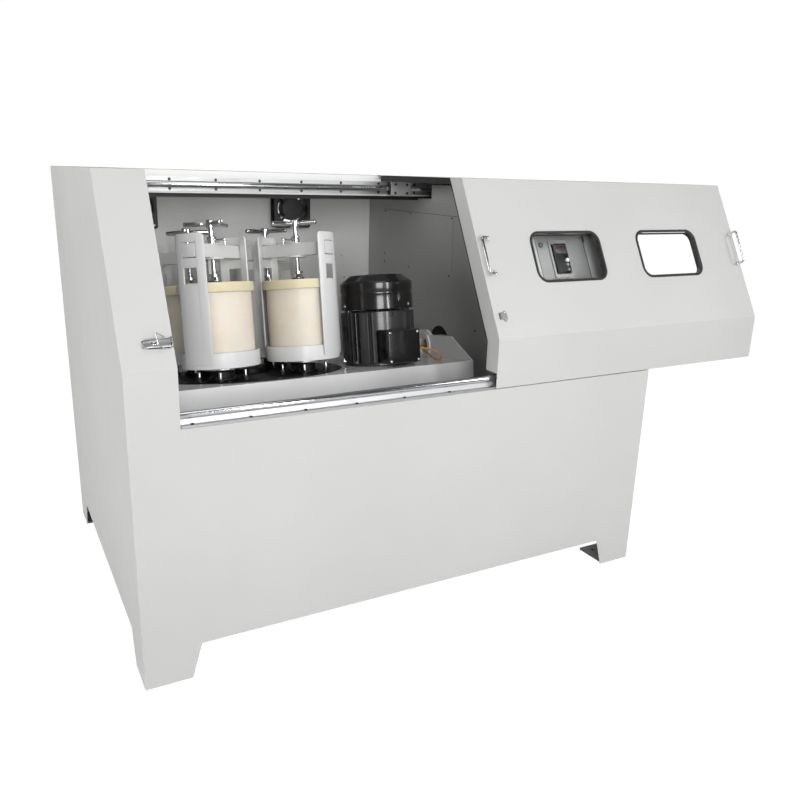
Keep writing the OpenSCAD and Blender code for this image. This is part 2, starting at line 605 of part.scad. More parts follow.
module fan_cowl() {
    color([0.06, 0.06, 0.07]) motor_at() difference() {
        rotate_extrude($fn = 96) polygon([[120.5, 149], [123.5, 149], [123.5, 239], [90, 264], [0, 264], [0, 261], [89, 261], [120.5, 237.5]]);
        // air inlets
        for (r = [24, 42, 60, 78], a = [0:30:359]) rotate([0, 0, a + r]) translate([r, 0, 256]) cylinder(r = 3.4, h = 12, $fn = 16);
        for (a = [62, 182, 302]) rotate([0, 0, a]) translate([115, 0, 162]) rotate([0, 90, 0]) cylinder(r = 3, h = 12, $fn = 16);
    }
}
module motor_rotor() {
    color([0.6, 0.6, 0.62]) motor_at() {
        difference() {
            union() {
                translate([0, 0, -141]) cylinder(r = 14, h = 366);
                translate([0, 0, -139]) cylinder(r = 30, h = 44);
                for (h = [-140, -124.5, -109]) translate([0, 0, h]) cylinder(r = 39, h = 2);
                // cooling fan
                translate([0, 0, 200]) cylinder(r = 30, h = 22);
                for (a = [0:60:359]) rotate([0, 0, a]) translate([20, -1.5, 200]) cube([88, 3, 30]);
                translate([0, 0, 198]) cylinder(r = 108, h = 2.5);
            }
        }
    }
}

// supply cable from the gland round a loop into the hollow trunnion
cable_pts = [[157, -245, 12], [172, -245, 11.6], [188, -244.5, 9.4], [204, -244, 5.2], [220, -244, 0], [234, -243, -7],
    [246, -239, -15], [256, -232, -23], [262, -223, -30], [263.5, -212, -34.2], [262.5, -200, -35.6], [262, -187, -35.2],
    [262.5, -173, -33.4], [264, -158, -30.6], [266.5, -142, -27.2], [270, -125, -23.2], [273.5, -108, -19], [277, -91, -15],
    [280.5, -74, -11.2], [284, -57, -8], [288, -41, -5], [293, -26, -2.6], [299, -13, -1], [307, -4, 0], [318, 0, 0],
    [336, 0, 0], [360, 0, 0]];
function unit(v) = v / norm(v);
function ring_at(p, d, r, n) = let (u = unit(cross(d, abs(d[2]) > 0.9 ? [1, 0, 0] : [0, 0, 1])), w = cross(u, d))
    [for (i = [0:n - 1]) p + r * (cos(360 * i / n) * u + sin(360 * i / n) * w)];
module sweep_tube(p, r, n = 10) {
    m = len(p);
    d = [for (i = [0:m - 1]) unit(p[min(i + 1, m - 1)] - p[max(i - 1, 0)])];
    pts = [for (i = [0:m - 1]) each ring_at(p[i], d[i], r, n)];
    polyhedron(pts, concat([[for (i = [0:n - 1]) i]], [[for (i = [n - 1:-1:0]) (m - 1) * n + i]],
        [for (j = [0:m - 2], i = [0:n - 1]) [j * n + i, (j + 1) * n + i, (j + 1) * n + (i + 1) % n, j * n + (i + 1) % n]]), convexity = 6);
}
module motor_cable() { color([0.85, 0.5, 0.15]) tilt() sweep_tube(cable_pts, 3.1, 10); }

// ---------------------------------------------------------------- jar stations
module wedge2(r, a) { polygon([[0, 0], [r * cos(a), -r * sin(a)], [r * 1.2, 0], [r * cos(a), r * sin(a)]]); }
module upright() {
    difference() {
        translate([0, 0, 19]) linear_extrude(381) intersection() {
            difference() { circle(ring_r + 5, $fn = 96); circle(ring_r - 0.2, $fn = 96); }
            wedge2(170, 23.5);
        }
        translate([100, -25, 325]) cube([40, 50, 47]);
        translate([100, -23, 253]) cube([40, 46, 48]);
        // rounded upper corners
        for (j = [-1, 1]) translate([100, 0, 400]) rotate([0, 90, 0]) linear_extrude(40)
            translate([0, j * 49.4]) difference() { translate([-1, j > 0 ? -12 : -1]) square([13, 13]); translate([12, -12 * j]) circle(12, $fn = 48); }
    }
}
module holder(k) {
    lv = sun_levels[k];
    color([0.8, 0.81, 0.8]) station(k) {
        difference() {
            union() {
                translate([0, 0, 4]) cylinder(r = ring_r, h = 47, $fn = 96);
                translate([0, 0, -6]) cylinder(r = 60, h = 11);
                translate([0, 0, lv - 6]) cylinder(r = 17, h = -lv + 6);
                translate([0, 0, lv - 4.6]) cylinder(r = 44.4, h = 9.2);
                for (h = [lv - 6, lv + 4.2]) translate([0, 0, h]) cylinder(r = 52, h = 1.8);
            }
            translate([0, 0, 10]) cylinder(r = ring_r - 6, h = 60, $fn = 96);
        }
        upright();
        rotate([0, 0, 180]) upright();
    }
}
module jar(k) {
    color([0.93, 0.9, 0.86]) station(k) difference() {
        translate([0, 0, 10]) cylinder(r = jar_r, h = 240, $fn = 96);
        translate([0, 0, 26]) cylinder(r = jar_bore, h = 240, $fn = 96);
    }
}
module lid(k) {
    color([0.9, 0.84, 0.68]) station(k) difference() {
        translate([0, 0, 229]) cylinder(r = lid_r, h = 29, $fn = 96);
        translate([0, 0, 228]) cylinder(r = jar_r + 0.4, h = 22, $fn = 96);
    }
}
module crossbar(k) {
    color([0.8, 0.81, 0.8]) station(k) difference() {
        union() {
            translate([-123, -22, 333]) cube([246, 44, 38.7]);
            translate([0, 0, 328]) cylinder(r = 33, h = 46);
            // lock collar with its lever and pin
            translate([0, 0, 373]) cylinder(r = 13, h = 22);
            rotate([0, 0, lock_deg[k]]) {
                translate([8, 0, 386]) rotate([0, 90, 0]) cylinder(r = 4, h = 38);
                translate([40, 0, 371]) cylinder(r = 3.5, h = 21);
            }
        }
        translate([0, 0, 300]) cylinder(r = 8.06, h = 120);
    }
}
module pressure_pad(k) {
    color([0.75, 0.76, 0.77]) station(k) difference() {
        union() { translate([0, 0, 258.3]) cylinder(r = 20, h = 6); translate([0, 0, 264]) cylinder(r1 = 17, r2 = 12, h = 12);
            translate([0, 0, 275]) cylinder(r = 12, h = 4); translate([0, 0, 278]) cylinder(r = 16.5, h = 6); }
        translate([0, 0, 268]) cylinder(r = 8.3, h = 20);
    }
}
module clamp_screw(k) {
    color([0.75, 0.76, 0.77]) station(k) rotate([0, 0, star_deg[k] - station_deg[k] - plate_deg[k]]) {
        translate([0, 0, 268.4]) cylinder(r = 8, h = 145);
        translate([0, 0, 413]) cylinder(r = 6.5, h = 10);
        translate([0, 0, 422]) cylinder(r = 13, h = 24);
        for (a = [0:120:359]) rotate([0, 0, a]) translate([6, 0, 434]) rotate([0, 90, 0]) cylinder(r = 7.5, h = arm_l - 6);
    }
}

module holder_a() { holder(0); }
module holder_b() { holder(1); }
module holder_c() { holder(2); }
module holder_d() { holder(3); }
module jar_a() { jar(0); }
module jar_b() { jar(1); }
module jar_c() { jar(2); }
module jar_d() { jar(3); }
module lid_a() { lid(0); }
module lid_b() { lid(1); }
module lid_c() { lid(2); }
module lid_d() { lid(3); }
module crossbar_a() { crossbar(0); }
module crossbar_b() { crossbar(1); }
module crossbar_c() { crossbar(2); }
module crossbar_d() { crossbar(3); }
module pressure_pad_a() { pressure_pad(0); }
module pressure_pad_b() { pressure_pad(1); }
module pressure_pad_c() { pressure_pad(2); }
module pressure_pad_d() { pressure_pad(3); }
module clamp_screw_a() { clamp_screw(0); }
module clamp_screw_b() { clamp_screw(1); }
module clamp_screw_c() { clamp_screw(2); }
module clamp_screw_d() { clamp_screw(3); }

base_frame();
left_side_panel();
lower_front_panel();
right_side_panel();
rear_roof_panel();
control_housing();
rail_supports();
rail_rods();
screws();
fan_housings();
latch_base();
trunnion_bearings();
tilt_gearbox();
control_door();
keypad();
keypad_knob();
fan_rotor_left();
fan_rotor_right();
latch_lever();
latch_bail();
door_shell();
window_panes();
window_gaskets();
door_carriages();
latch_keeper();
door_handle_left();
door_handle_right();
cradle_tray();
sun_pulley();
drive_belts();
motor_stator();
fan_cowl();
motor_cable();
motor_rotor();
turntable();
planet_belts();
holder_a();
jar_a();
lid_a();
crossbar_a();
pressure_pad_a();
clamp_screw_a();
holder_b();
jar_b();
lid_b();
crossbar_b();
pressure_pad_b();
clamp_screw_b();
holder_c();
jar_c();
lid_c();
crossbar_c();
pressure_pad_c();
clamp_screw_c();
holder_d();
jar_d();
lid_d();
crossbar_d();
pressure_pad_d();
clamp_screw_d();
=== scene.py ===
import bpy
import bmesh
import json
import math
from mathutils import Matrix, Vector


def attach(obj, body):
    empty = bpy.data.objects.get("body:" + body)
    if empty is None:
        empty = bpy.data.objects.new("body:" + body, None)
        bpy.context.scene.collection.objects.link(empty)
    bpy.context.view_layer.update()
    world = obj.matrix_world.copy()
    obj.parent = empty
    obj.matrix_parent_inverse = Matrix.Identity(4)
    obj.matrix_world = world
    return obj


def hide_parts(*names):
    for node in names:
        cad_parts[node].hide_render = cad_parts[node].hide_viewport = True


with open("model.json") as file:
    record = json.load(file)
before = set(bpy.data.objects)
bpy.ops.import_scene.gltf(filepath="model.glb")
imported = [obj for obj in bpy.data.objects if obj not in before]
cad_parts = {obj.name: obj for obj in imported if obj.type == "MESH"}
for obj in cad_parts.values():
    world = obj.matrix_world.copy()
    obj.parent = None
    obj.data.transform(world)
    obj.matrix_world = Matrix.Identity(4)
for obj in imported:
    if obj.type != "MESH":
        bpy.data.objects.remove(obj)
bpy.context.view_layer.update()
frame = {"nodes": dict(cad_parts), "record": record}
scene = bpy.context.scene
scene.view_settings.view_transform = "Standard"
WORLD_FRONT, WORLD_BACK = 0.16, 0.42

# ------------------------------------------------------------------ places, in mm
MM = 0.001
HX, FY, BY, CH = 850.0, -610.0, 610.0, 1310.0
BEND, BACK = 855.0, 246.0
SL = math.hypot(BACK, CH - BEND)
SB, SU = BACK / SL, (CH - BEND) / SL
LEAN = math.degrees(math.atan2(SU, SB))
DOOR0 = -HX + 127 + 940
DOOR1 = DOOR0 + 1143
RAIL_Y, RAIL_Z = FY + 28, 730.0
TRAIL_Y, TRAIL_Z = 150.0, CH - 44
CTL = 80.0
STATION = [226.5, 316.5, 136.5, 46.5]
PLATE = [-5.5, -11.5, -8.0, -8.0]
STAR = [37.0, 66.0, 10.0, 80.0]
LOCK = [110.0, 206.0, -35.0, -35.0]
SUN = [-61.0, -71.0, -81.0, -91.0]


def T(x, y, z):
    return Matrix.Translation((x * MM, y * MM, z * MM))


def R(deg, axis):
    return Matrix.Rotation(math.radians(deg), 4, axis)


def on_slope(x, s, d=0.0):
    return T(x, FY + SB * s, BEND + SU * s) @ R(LEAN, "X") @ T(0, 0, -d)


TILT = T(0, 0, 705) @ R(-9.5, "X")
MILL = TILT @ T(-350, 0, 0)
MOTOR = TILT @ T(82, -105, 0)
STATIONS = [MILL @ R(STATION[k], "Z") @ T(193, 0, 0) @ R(PLATE[k], "Z") for k in range(4)]
I4 = Matrix.Identity(4)

# ------------------------------------------------------------------ camera
f = 766.7
yaw, pitch, roll = (math.radians(a) for a in (29.079, -16.349, 1.699))
fwd = Vector((math.sin(yaw) * math.cos(pitch), math.cos(yaw) * math.cos(pitch), math.sin(pitch)))
rgt = Vector((math.cos(yaw), -math.sin(yaw), 0.0))
up0 = rgt.cross(fwd)
right = math.cos(roll) * rgt + math.sin(roll) * up0
upv = -math.sin(roll) * rgt + math.cos(roll) * up0
cam_data = bpy.data.cameras.new("camera")
cam = bpy.data.objects.new("camera", cam_data)
scene.collection.objects.link(cam)
cam.matrix_world = Matrix((
    (right.x, upv.x, -fwd.x, -1.122),
    (right.y, upv.y, -fwd.y, -2.411),
    (right.z, upv.z, -fwd.z, 1.315),
    (0, 0, 0, 1)))
cam_data.sensor_width = 36.0
cam_data.lens = f / 800 * 36.0
cam_data.shift_x = (400 - 397.9) / 800
cam_data.shift_y = (399.5 - 400) / 800
cam_data.clip_start = 0.05
cam_data.clip_end = 200
scene.camera = cam


# ------------------------------------------------------------------ materials
class Mat:
    """A Principled material built from procedural nodes in the object's own coordinates."""

    def __init__(self, name, rough=0.5, metal=0.0, spec=0.5, coat=0.0, coat_rough=0.05, ior=1.5):
        self.m = bpy.data.materials.new(name)
        self.m.use_nodes = True
        self.nt = self.m.node_tree
        self.b = next(n for n in self.nt.nodes if n.type == "BSDF_PRINCIPLED")
        self.b.inputs["Roughness"].default_value = rough
        self.b.inputs["Metallic"].default_value = metal
        self.b.inputs["Specular IOR Level"].default_value = spec
        self.b.inputs["IOR"].default_value = ior
        self.b.inputs["Coat Weight"].default_value = coat
        self.b.inputs["Coat Roughness"].default_value = coat_rough
        self.tc = self.nt.nodes.new("ShaderNodeTexCoord").outputs["Object"]
        self.height = None

    def link(self, a, b):
        self.nt.links.new(a, b)

    def noise(self, scale, detail=2.0, rough=0.5, stretch=(1, 1, 1), distortion=0.0):
        mp = self.nt.nodes.new("ShaderNodeMapping")
        mp.inputs["Scale"].default_value = stretch
        self.link(self.tc, mp.inputs["Vector"])
        n = self.nt.nodes.new("ShaderNodeTexNoise")
        n.inputs["Scale"].default_value = scale
        n.inputs["Detail"].default_value = detail
        n.inputs["Roughness"].default_value = rough
        n.inputs["Distortion"].default_value = distortion
        self.link(mp.outputs[0], n.inputs["Vector"])
        return n.outputs["Fac"]

    def cells(self, scale, stretch=(1, 1, 1)):
        mp = self.nt.nodes.new("ShaderNodeMapping")
        mp.inputs["Scale"].default_value = stretch
        self.link(self.tc, mp.inputs["Vector"])
        n = self.nt.nodes.new("ShaderNodeTexVoronoi")
        n.inputs["Scale"].default_value = scale
        self.link(mp.outputs[0], n.inputs["Vector"])
        return n.outputs["Distance"]

    def span(self, fac, lo, hi, a, b):
        n = self.nt.nodes.new("ShaderNodeMapRange")
        for k, v in (("From Min", lo), ("From Max", hi), ("To Min", a), ("To Max", b)):
            n.inputs[k].default_value = v
        self.link(fac, n.inputs["Value"])
        return n.outputs["Result"]

    def mix(self, a, b, fac):
        n = self.nt.nodes.new("ShaderNodeMix")
        n.data_type = "RGBA"
        for key, v in ((6, a), (7, b)):
            if isinstance(v, (tuple, list)):
                n.inputs[key].default_value = (*v, 1.0)
            else:
                self.link(v, n.inputs[key])
        self.link(fac, n.inputs[0])
        return n.outputs[2]

    def coord(self, axis):
        n = self.nt.nodes.new("ShaderNodeSeparateXYZ")
        self.link(self.tc, n.inputs[0])
        return n.outputs[axis]

    def math(self, op, a, b=None):
        n = self.nt.nodes.new("ShaderNodeMath")
        n.operation = op
        for i, v in enumerate((a, b)):
            if v is None:
                continue
            if isinstance(v, (int, float)):
                n.inputs[i].default_value = v
            else:
                self.link(v, n.inputs[i])
        return n.outputs[0]

    def color(self, c):
        if isinstance(c, (tuple, list)):
            self.b.inputs["Base Color"].default_value = (*c, 1.0)
        else:
            self.link(c, self.b.inputs["Base Color"])
        return self

    def rough(self, fac, a, b, lo=0.3, hi=0.7):
        self.link(self.span(fac, lo, hi, a, b), self.b.inputs["Roughness"])
        return self

    def bump(self, h, strength, distance):
        n = self.nt.nodes.new("ShaderNodeBump")
        n.inputs["Strength"].default_value = strength
        n.inputs["Distance"].default_value = distance
        self.link(h, n.inputs["Height"])
        if self.height is not None:
            self.link(self.height, n.inputs["Normal"])
        self.height = n.outputs["Normal"]
        self.link(self.height, self.b.inputs["Normal"])
        return self


def v3(g, t=(1, 1, 1)):
    return tuple(g * k for k in t)


def paint(name, grey, tint=(1, 1, 0.985), rough=(0.36, 0.46), peel=0.10, spread=0.035, spec=0.45, coat=0.0):
    """Powder coat: fine orange peel, faint cloudiness and a few dull scuffs."""
    m = Mat(name, spec=spec, coat=coat, coat_rough=0.12)
    cloud = m.noise(1.6, 3.0, 0.55)
    fine = m.noise(420, 2.0, 0.6)
    scuff = m.noise(22, 4.0, 0.7, (1.0, 1.0, 0.35))
    c = m.mix(v3(grey * (1 - spread), tint), v3(grey * (1 + spread), tint), m.span(cloud, 0.3, 0.7, 0, 1))
    c = m.mix(c, v3(grey * 0.80, (1, 0.99, 0.96)), m.span(scuff, 0.70, 0.86, 0, 0.30))
    c = m.mix(c, v3(grey * 0.93, tint), m.span(fine, 0.45, 0.75, 0, 0.5))
    m.color(c)
    m.rough(scuff, rough[0], rough[1], 0.35, 0.75)
    m.bump(fine, peel, 0.0004)
    m.bump(m.noise(55, 2.0, 0.5), 0.03, 0.002)
    return m.m


M = {}
M["cabinet_paint"] = paint("powder_coat_outside", 0.535, rough=(0.46, 0.56), spec=0.32)
M["inner_paint"] = paint("powder_coat_inside", 0.300, rough=(0.42, 0.52), spec=0.35)
M["bracket_paint"] = paint("bracket_grey", 0.42, (1, 1, 0.99), (0.30, 0.40), 0.06, 0.05)
M["frame_paint"] = paint("frame_grey", 0.22, (0.97, 1.0, 1.03), (0.42, 0.55), 0.2, 0.08)
M["holder_paint"] = paint("holder_grey", 0.650, (0.99, 1, 0.995), (0.28, 0.38), 0.10, 0.03)
M["tray_paint"] = paint("tray_grey", 0.710, (0.99, 1, 0.995), (0.14, 0.24), 0.08, 0.05, 0.55)
M["bearing_paint"] = paint("bearing_green_grey", 0.10, (0.75, 1.12, 0.98), (0.45, 0.6), 0.7, 0.15)
M["gearbox_paint"] = paint("gearbox_blue_grey", 0.11, (0.78, 1.0, 1.25), (0.35, 0.5), 0.4, 0.12)


def polished(name, base, r0, r1, stretch, scale, spread=0.06, bump=0.04):
    """Bare metal with drawing or turning marks along one direction and faint handling marks."""
    m = Mat(name, metal=1.0)
    lines = m.noise(scale, 3.0, 0.6, stretch)
    smear = m.noise(9, 3.0, 0.6)
    c = m.mix(v3(1 - spread, base), base, m.span(lines, 0.35, 0.65, 0, 1))
    c = m.mix(c, tuple(k * 0.86 for k in base), m.span(smear, 0.60, 0.80, 0, 0.45))
    m.color(c)
    m.rough(smear, r0, r1)
    m.bump(lines, bump, 0.0002)
    return m.m


M["chrome"] = polished("hard_chrome", (0.73, 0.74, 0.76), 0.05, 0.12, (6, 1, 1), 40, 0.05, 0.02)
M["rod_chrome"] = polished("ground_rod", (0.84, 0.85, 0.87), 0.08, 0.16, (600, 2, 2), 1.0, 0.06, 0.05)
M["aluminium"] = polished("extruded_aluminium", (0.51, 0.515, 0.52), 0.44, 0.54, (0.6, 320, 320), 2.0, 0.10, 0.10)
M["steel"] = polished("machined_steel", (0.56, 0.57, 0.58), 0.22, 0.34, (8, 8, 260), 1.5, 0.12, 0.10)
M["satin_steel"] = polished("satin_nickel", (0.34, 0.34, 0.345), 0.30, 0.42, (6, 90, 90), 2.0, 0.10, 0.05)
M["dull_zinc"] = polished("dull_zinc", (0.30, 0.30, 0.305), 0.46, 0.58, (30, 30, 30), 6.0, 0.22, 0.15)
M["fastener_steel"] = polished("zinc_plate", (0.66, 0.67, 0.68), 0.20, 0.32, (90, 90, 90), 3.0, 0.12, 0.06)


def black_gloss():
    m = Mat("gloss_black_paint", spec=0.5, coat=0.6, coat_rough=0.06)
    cloud = m.noise(14, 3.0, 0.6)
    dust = m.noise(900, 2.0, 0.6)
    c = m.mix((0.010, 0.010, 0.011), (0.018, 0.018, 0.019), m.span(cloud, 0.3, 0.7, 0, 1))
    c = m.mix(c, (0.075, 0.072, 0.066), m.span(dust, 0.66, 0.80, 0, 0.7))
    m.color(c)
    m.rough(cloud, 0.16, 0.30)
    m.bump(m.noise(160, 2.0, 0.5), 0.05, 0.001)
    return m.m


def black_paint(name, lo, hi, r0, r1, spec, coat, dust):
    """Black paint over a cast or turned surface, with dust lying on it."""
    m = Mat(name, spec=spec, coat=coat, coat_rough=0.09)
    cloud = m.noise(9, 3.0, 0.6)
    grit = m.noise(700, 2.0, 0.6)
    c = m.mix(v3(lo), v3(hi), m.span(cloud, 0.3, 0.7, 0, 1))
    c = m.mix(c, (0.10, 0.098, 0.092), m.span(grit, 0.64, 0.80, 0, dust))
    m.color(c)
    m.rough(cloud, r0, r1)
    m.bump(m.noise(240, 2.0, 0.55), 0.10, 0.0008)
    return m.m


def plastic(name, c, rough=(0.42, 0.55), grain=0.25, scale=1500):
    m = Mat(name)
    g = m.noise(scale, 2.0, 0.6)
    cloud = m.noise(30, 2.0, 0.5)
    m.color(m.mix(tuple(k * 0.8 for k in c), tuple(min(1, k * 1.2) for k in c), m.span(cloud, 0.3, 0.7, 0, 1)))
    m.rough(g, *rough)
    m.bump(g, grain, 0.0002)
    return m.m


M["black_metal"] = black_gloss()
M["motor_black"] = black_paint("motor_black", 0.028, 0.041, 0.24, 0.36, 0.50, 0.25, 0.45)
M["cowl_black"] = black_paint("cowl_black", 0.009, 0.013, 0.16, 0.24, 0.45, 0.45, 0.25)
M["disc_black"] = black_paint("disc_black", 0.005, 0.009, 0.30, 0.44, 0.14, 0.0, 0.15)
M["black_oxide"] = black_paint("black_oxide", 0.012, 0.020, 0.30, 0.42, 0.5, 0.0, 0.4)
M["black_plastic"] = plastic("black_moulding", (0.022, 0.022, 0.023))
M["black_rubber"] = plastic("black_rubber", (0.014, 0.014, 0.014), (0.50, 0.66), 0.35, 900)
M["belt_rubber"] = plastic("belt_rubber", (0.020, 0.020, 0.020), (0.6, 0.8), 0.6, 700)
M["cable_orange"] = plastic("cable_sheath", (0.60, 0.30, 0.075), (0.40, 0.52), 0.3, 900)
M["key_grey"] = plastic("key_grey", (0.17, 0.17, 0.17), (0.4, 0.5), 0.2, 1600)
M["bezel_grey"] = plastic("bezel_grey", (0.16, 0.16, 0.157), (0.4, 0.5), 0.2, 1200)
M["keypad_black"] = black_paint("keypad_black", 0.006, 0.010, 0.62, 0.74, 0.0, 0.0, 0.1)
M["dark_window"] = plastic("display_window", (0.012, 0.005, 0.006), (0.08, 0.12), 0.02, 500)
# near-black for holes and slots that are not cut: painted shade in place of the openings
M["painted_hole_shade"] = plastic("unlit_inside", (0.006, 0.006, 0.006), (0.8, 0.9), 0.2, 300)


def nylon(name, light, dark, rings):
    """Cast nylon, turned on a lathe: fine rings along the axis and a little depth under the surface."""
    m = Mat(name, spec=0.4)
    turn = m.noise(1.0, 2.0, 0.7, (1.5, 1.5, rings))
    cloud = m.noise(11, 3.0, 0.6)
    stain = m.noise(38, 4.0, 0.7)
    c = m.mix(dark, light, m.span(cloud, 0.25, 0.65, 0, 1))
    c = m.mix(c, tuple(k * 0.93 for k in light), m.span(turn, 0.4, 0.8, 0, 0.6))
    c = m.mix(c, (0.52, 0.45, 0.36), m.span(stain, 0.70, 0.88, 0, 0.35))
    m.color(c)
    m.rough(turn, 0.34, 0.50)
    m.bump(turn, 0.20, 0.0003)
    m.b.inputs["Subsurface Weight"].default_value = 0.5
    m.b.inputs["Subsurface Radius"].default_value = (1.0, 0.55, 0.25)
    m.b.inputs["Subsurface Scale"].default_value = 0.026
    return m.m


M["nylon"] = nylon("cast_nylon_cream", (0.78, 0.71, 0.625), (0.73, 0.645, 0.535), 420)
M["nylon_lid"] = nylon("cast_nylon_yellow", (0.75, 0.66, 0.47), (0.67, 0.58, 0.38), 500)


def glass():
    m = Mat("window_glass", rough=0.01, ior=1.06)
    m.b.inputs["Transmission Weight"].default_value = 1.0
    smear = m.noise(16, 3.0, 0.6, (1, 1, 0.4))
    m.color(m.mix((0.985, 0.992, 0.99), (0.995, 0.998, 0.998), smear))
    m.bump(m.noise(5, 1.0, 0.5), 0.01, 0.001)
    nt = m.nt
    out = next(n for n in nt.nodes if n.type == "OUTPUT_MATERIAL")
    lp = nt.nodes.new("ShaderNodeLightPath")
    tr = nt.nodes.new("ShaderNodeBsdfTransparent")
    tr.inputs["Color"].default_value = (0.95, 0.97, 0.965, 1)
    mx = nt.nodes.new("ShaderNodeMixShader")
    nt.links.new(lp.outputs["Is Shadow Ray"], mx.inputs[0])
    nt.links.new(m.b.outputs[0], mx.inputs[1])
    nt.links.new(tr.outputs[0], mx.inputs[2])
    nt.links.new(mx.outputs[0], out.inputs["Surface"])
    return m.m


M["glass"] = glass()


# ------------------------------------------------------------------ mesh tools, in mm
def fillet(pts, r, seg=3, closed=True):
    """Rounds the corners of a 2D outline. r is one radius, or one for each point."""
    n = len(pts)
    out = []
    for i, p in enumerate(pts):
        rr = r[i] if isinstance(r, (list, tuple)) else r
        if rr <= 0 or (not closed and i in (0, n - 1)):
            out.append(tuple(p))
            continue
        a, b, c = Vector(pts[i - 1]), Vector(p), Vector(pts[(i + 1) % n])
        u, w = (a - b), (c - b)
        lu, lw = u.length, w.length
        if lu < 1e-9 or lw < 1e-9:
            out.append(tuple(p))
            continue
        u, w = u / lu, w / lw
        cosang = max(-1, min(1, u.dot(w)))
        ang = math.acos(cosang)
        if ang > math.radians(178) or ang < 1e-3:
            out.append(tuple(p))
            continue
        t = min(rr / math.tan(ang / 2), 0.45 * lu, 0.45 * lw)
        rr = t * math.tan(ang / 2)
        mid = (u + w).normalized()
        ctr = b + mid * (rr / math.sin(ang / 2))
        s, e = b + u * t - ctr, b + w * t - ctr
        a0 = math.atan2(s.y, s.x)
        d = math.atan2(e.y, e.x) - a0
        while d > math.pi:
            d -= 2 * math.pi
        while d < -math.pi:
            d += 2 * math.pi
        for k in range(seg + 1):
            t2 = a0 + d * k / seg
            out.append((ctr.x + rr * math.cos(t2), ctr.y + rr * math.sin(t2)))
    return out


def lathe(pts, n=64, closed=False):
    """Turns a (radius, height) profile about Z."""
    bm = bmesh.new()
    rings = []
    for r, z in pts:
        if r < 1e-6:
            rings.append([bm.verts.new((0, 0, z))])
        else:
            rings.append([bm.verts.new((r * math.cos(2 * math.pi * k / n), r * math.sin(2 * math.pi * k / n), z)) for k in range(n)])
    pairs = list(zip(rings, rings[1:])) + ([(rings[-1], rings[0])] if closed else [])
    for a, b in pairs:
        for k in range(n):
            k2 = (k + 1) % n
            q = [a[k % len(a)], a[k2 % len(a)], b[k2 % len(b)], b[k % len(b)]]
            q = list(dict.fromkeys(q))
            if len(q) > 2:
                bm.faces.new(q)
    bmesh.ops.recalc_face_normals(bm, faces=bm.faces)
    return bm


def cyl(r, h, n=48, bev=0.6, z=0.0, seg=2):
    return lathe(fillet([(0, z), (r, z), (r, z + h), (0, z + h)], bev, seg, closed=False), n)


def ring(r1, r2, h, n=48, bev=0.5, z=0.0):
    return lathe(fillet([(r1, z), (r2, z), (r2, z + h), (r1, z + h)], bev, 2), n, closed=True)


def round_edges(bm, width, seg=2, angle=40):
    if width <= 0:
        return bm
    es = [e for e in bm.edges if len(e.link_faces) == 2 and e.calc_face_angle(0) > math.radians(angle)]
    bmesh.ops.bevel(bm, geom=es, offset=width, segments=seg, profile=0.5, affect="EDGES", clamp_overlap=True)
    return bm


def box(x, y, z, bev=0.8, seg=2):
    """A box from corner (x0, y0, z0) to (x1, y1, z1), each given as a pair."""
    bm = bmesh.new()
    bmesh.ops.create_cube(bm, size=1.0)
    for v in bm.verts:
        v.co = Vector((x[0] if v.co.x < 0 else x[1], y[0] if v.co.y < 0 else y[1], z[0] if v.co.z < 0 else z[1]))
    return round_edges(bm, bev, seg)


def plate(outline, holes=(), h=2.0, bev=0.0, seg=2, z=0.0):
    """A flat plate with holes, from outlines in the XY plane, from z to z + h."""
    cu = bpy.data.curves.new("c", "CURVE")
    cu.dimensions, cu.fill_mode, cu.extrude = "2D", "BOTH", h / 2
    for pts in [outline, *holes]:
        sp = cu.splines.new("POLY")
        sp.points.add(len(pts) - 1)
        for q, p in zip(sp.points, pts):
            q.co = (p[0], p[1], 0, 1)
        sp.use_cyclic_u = True
    ob = bpy.data.objects.new("c", cu)
    scene.collection.objects.link(ob)
    dg = bpy.context.evaluated_depsgraph_get()
    me = bpy.data.meshes.new_from_object(ob.evaluated_get(dg))
    bpy.data.objects.remove(ob)
    bpy.data.curves.remove(cu)
    bm = bmesh.new()
    bm.from_mesh(me)
    bpy.data.meshes.remove(me)
    bmesh.ops.remove_doubles(bm, verts=bm.verts, dist=1e-4)
    bmesh.ops.dissolve_limit(bm, angle_limit=0.002, verts=bm.verts, edges=bm.edges)
    bmesh.ops.recalc_face_normals(bm, faces=bm.faces)
    for v in bm.verts:
        v.co.z += z + h / 2
    return round_edges(bm, bev, seg)


def rect(w, h, r=0.0, cx=0.0, cy=0.0, seg=8):
    pts = [(cx - w / 2, cy - h / 2), (cx + w / 2, cy - h / 2), (cx + w / 2, cy + h / 2), (cx - w / 2, cy + h / 2)]
    return fillet(pts, r, seg) if r else pts


def circle(r, n=48, cx=0.0, cy=0.0, a0=0.0):
    return [(cx + r * math.cos(a0 + 2 * math.pi * k / n), cy + r * math.sin(a0 + 2 * math.pi * k / n)) for k in range(n)]


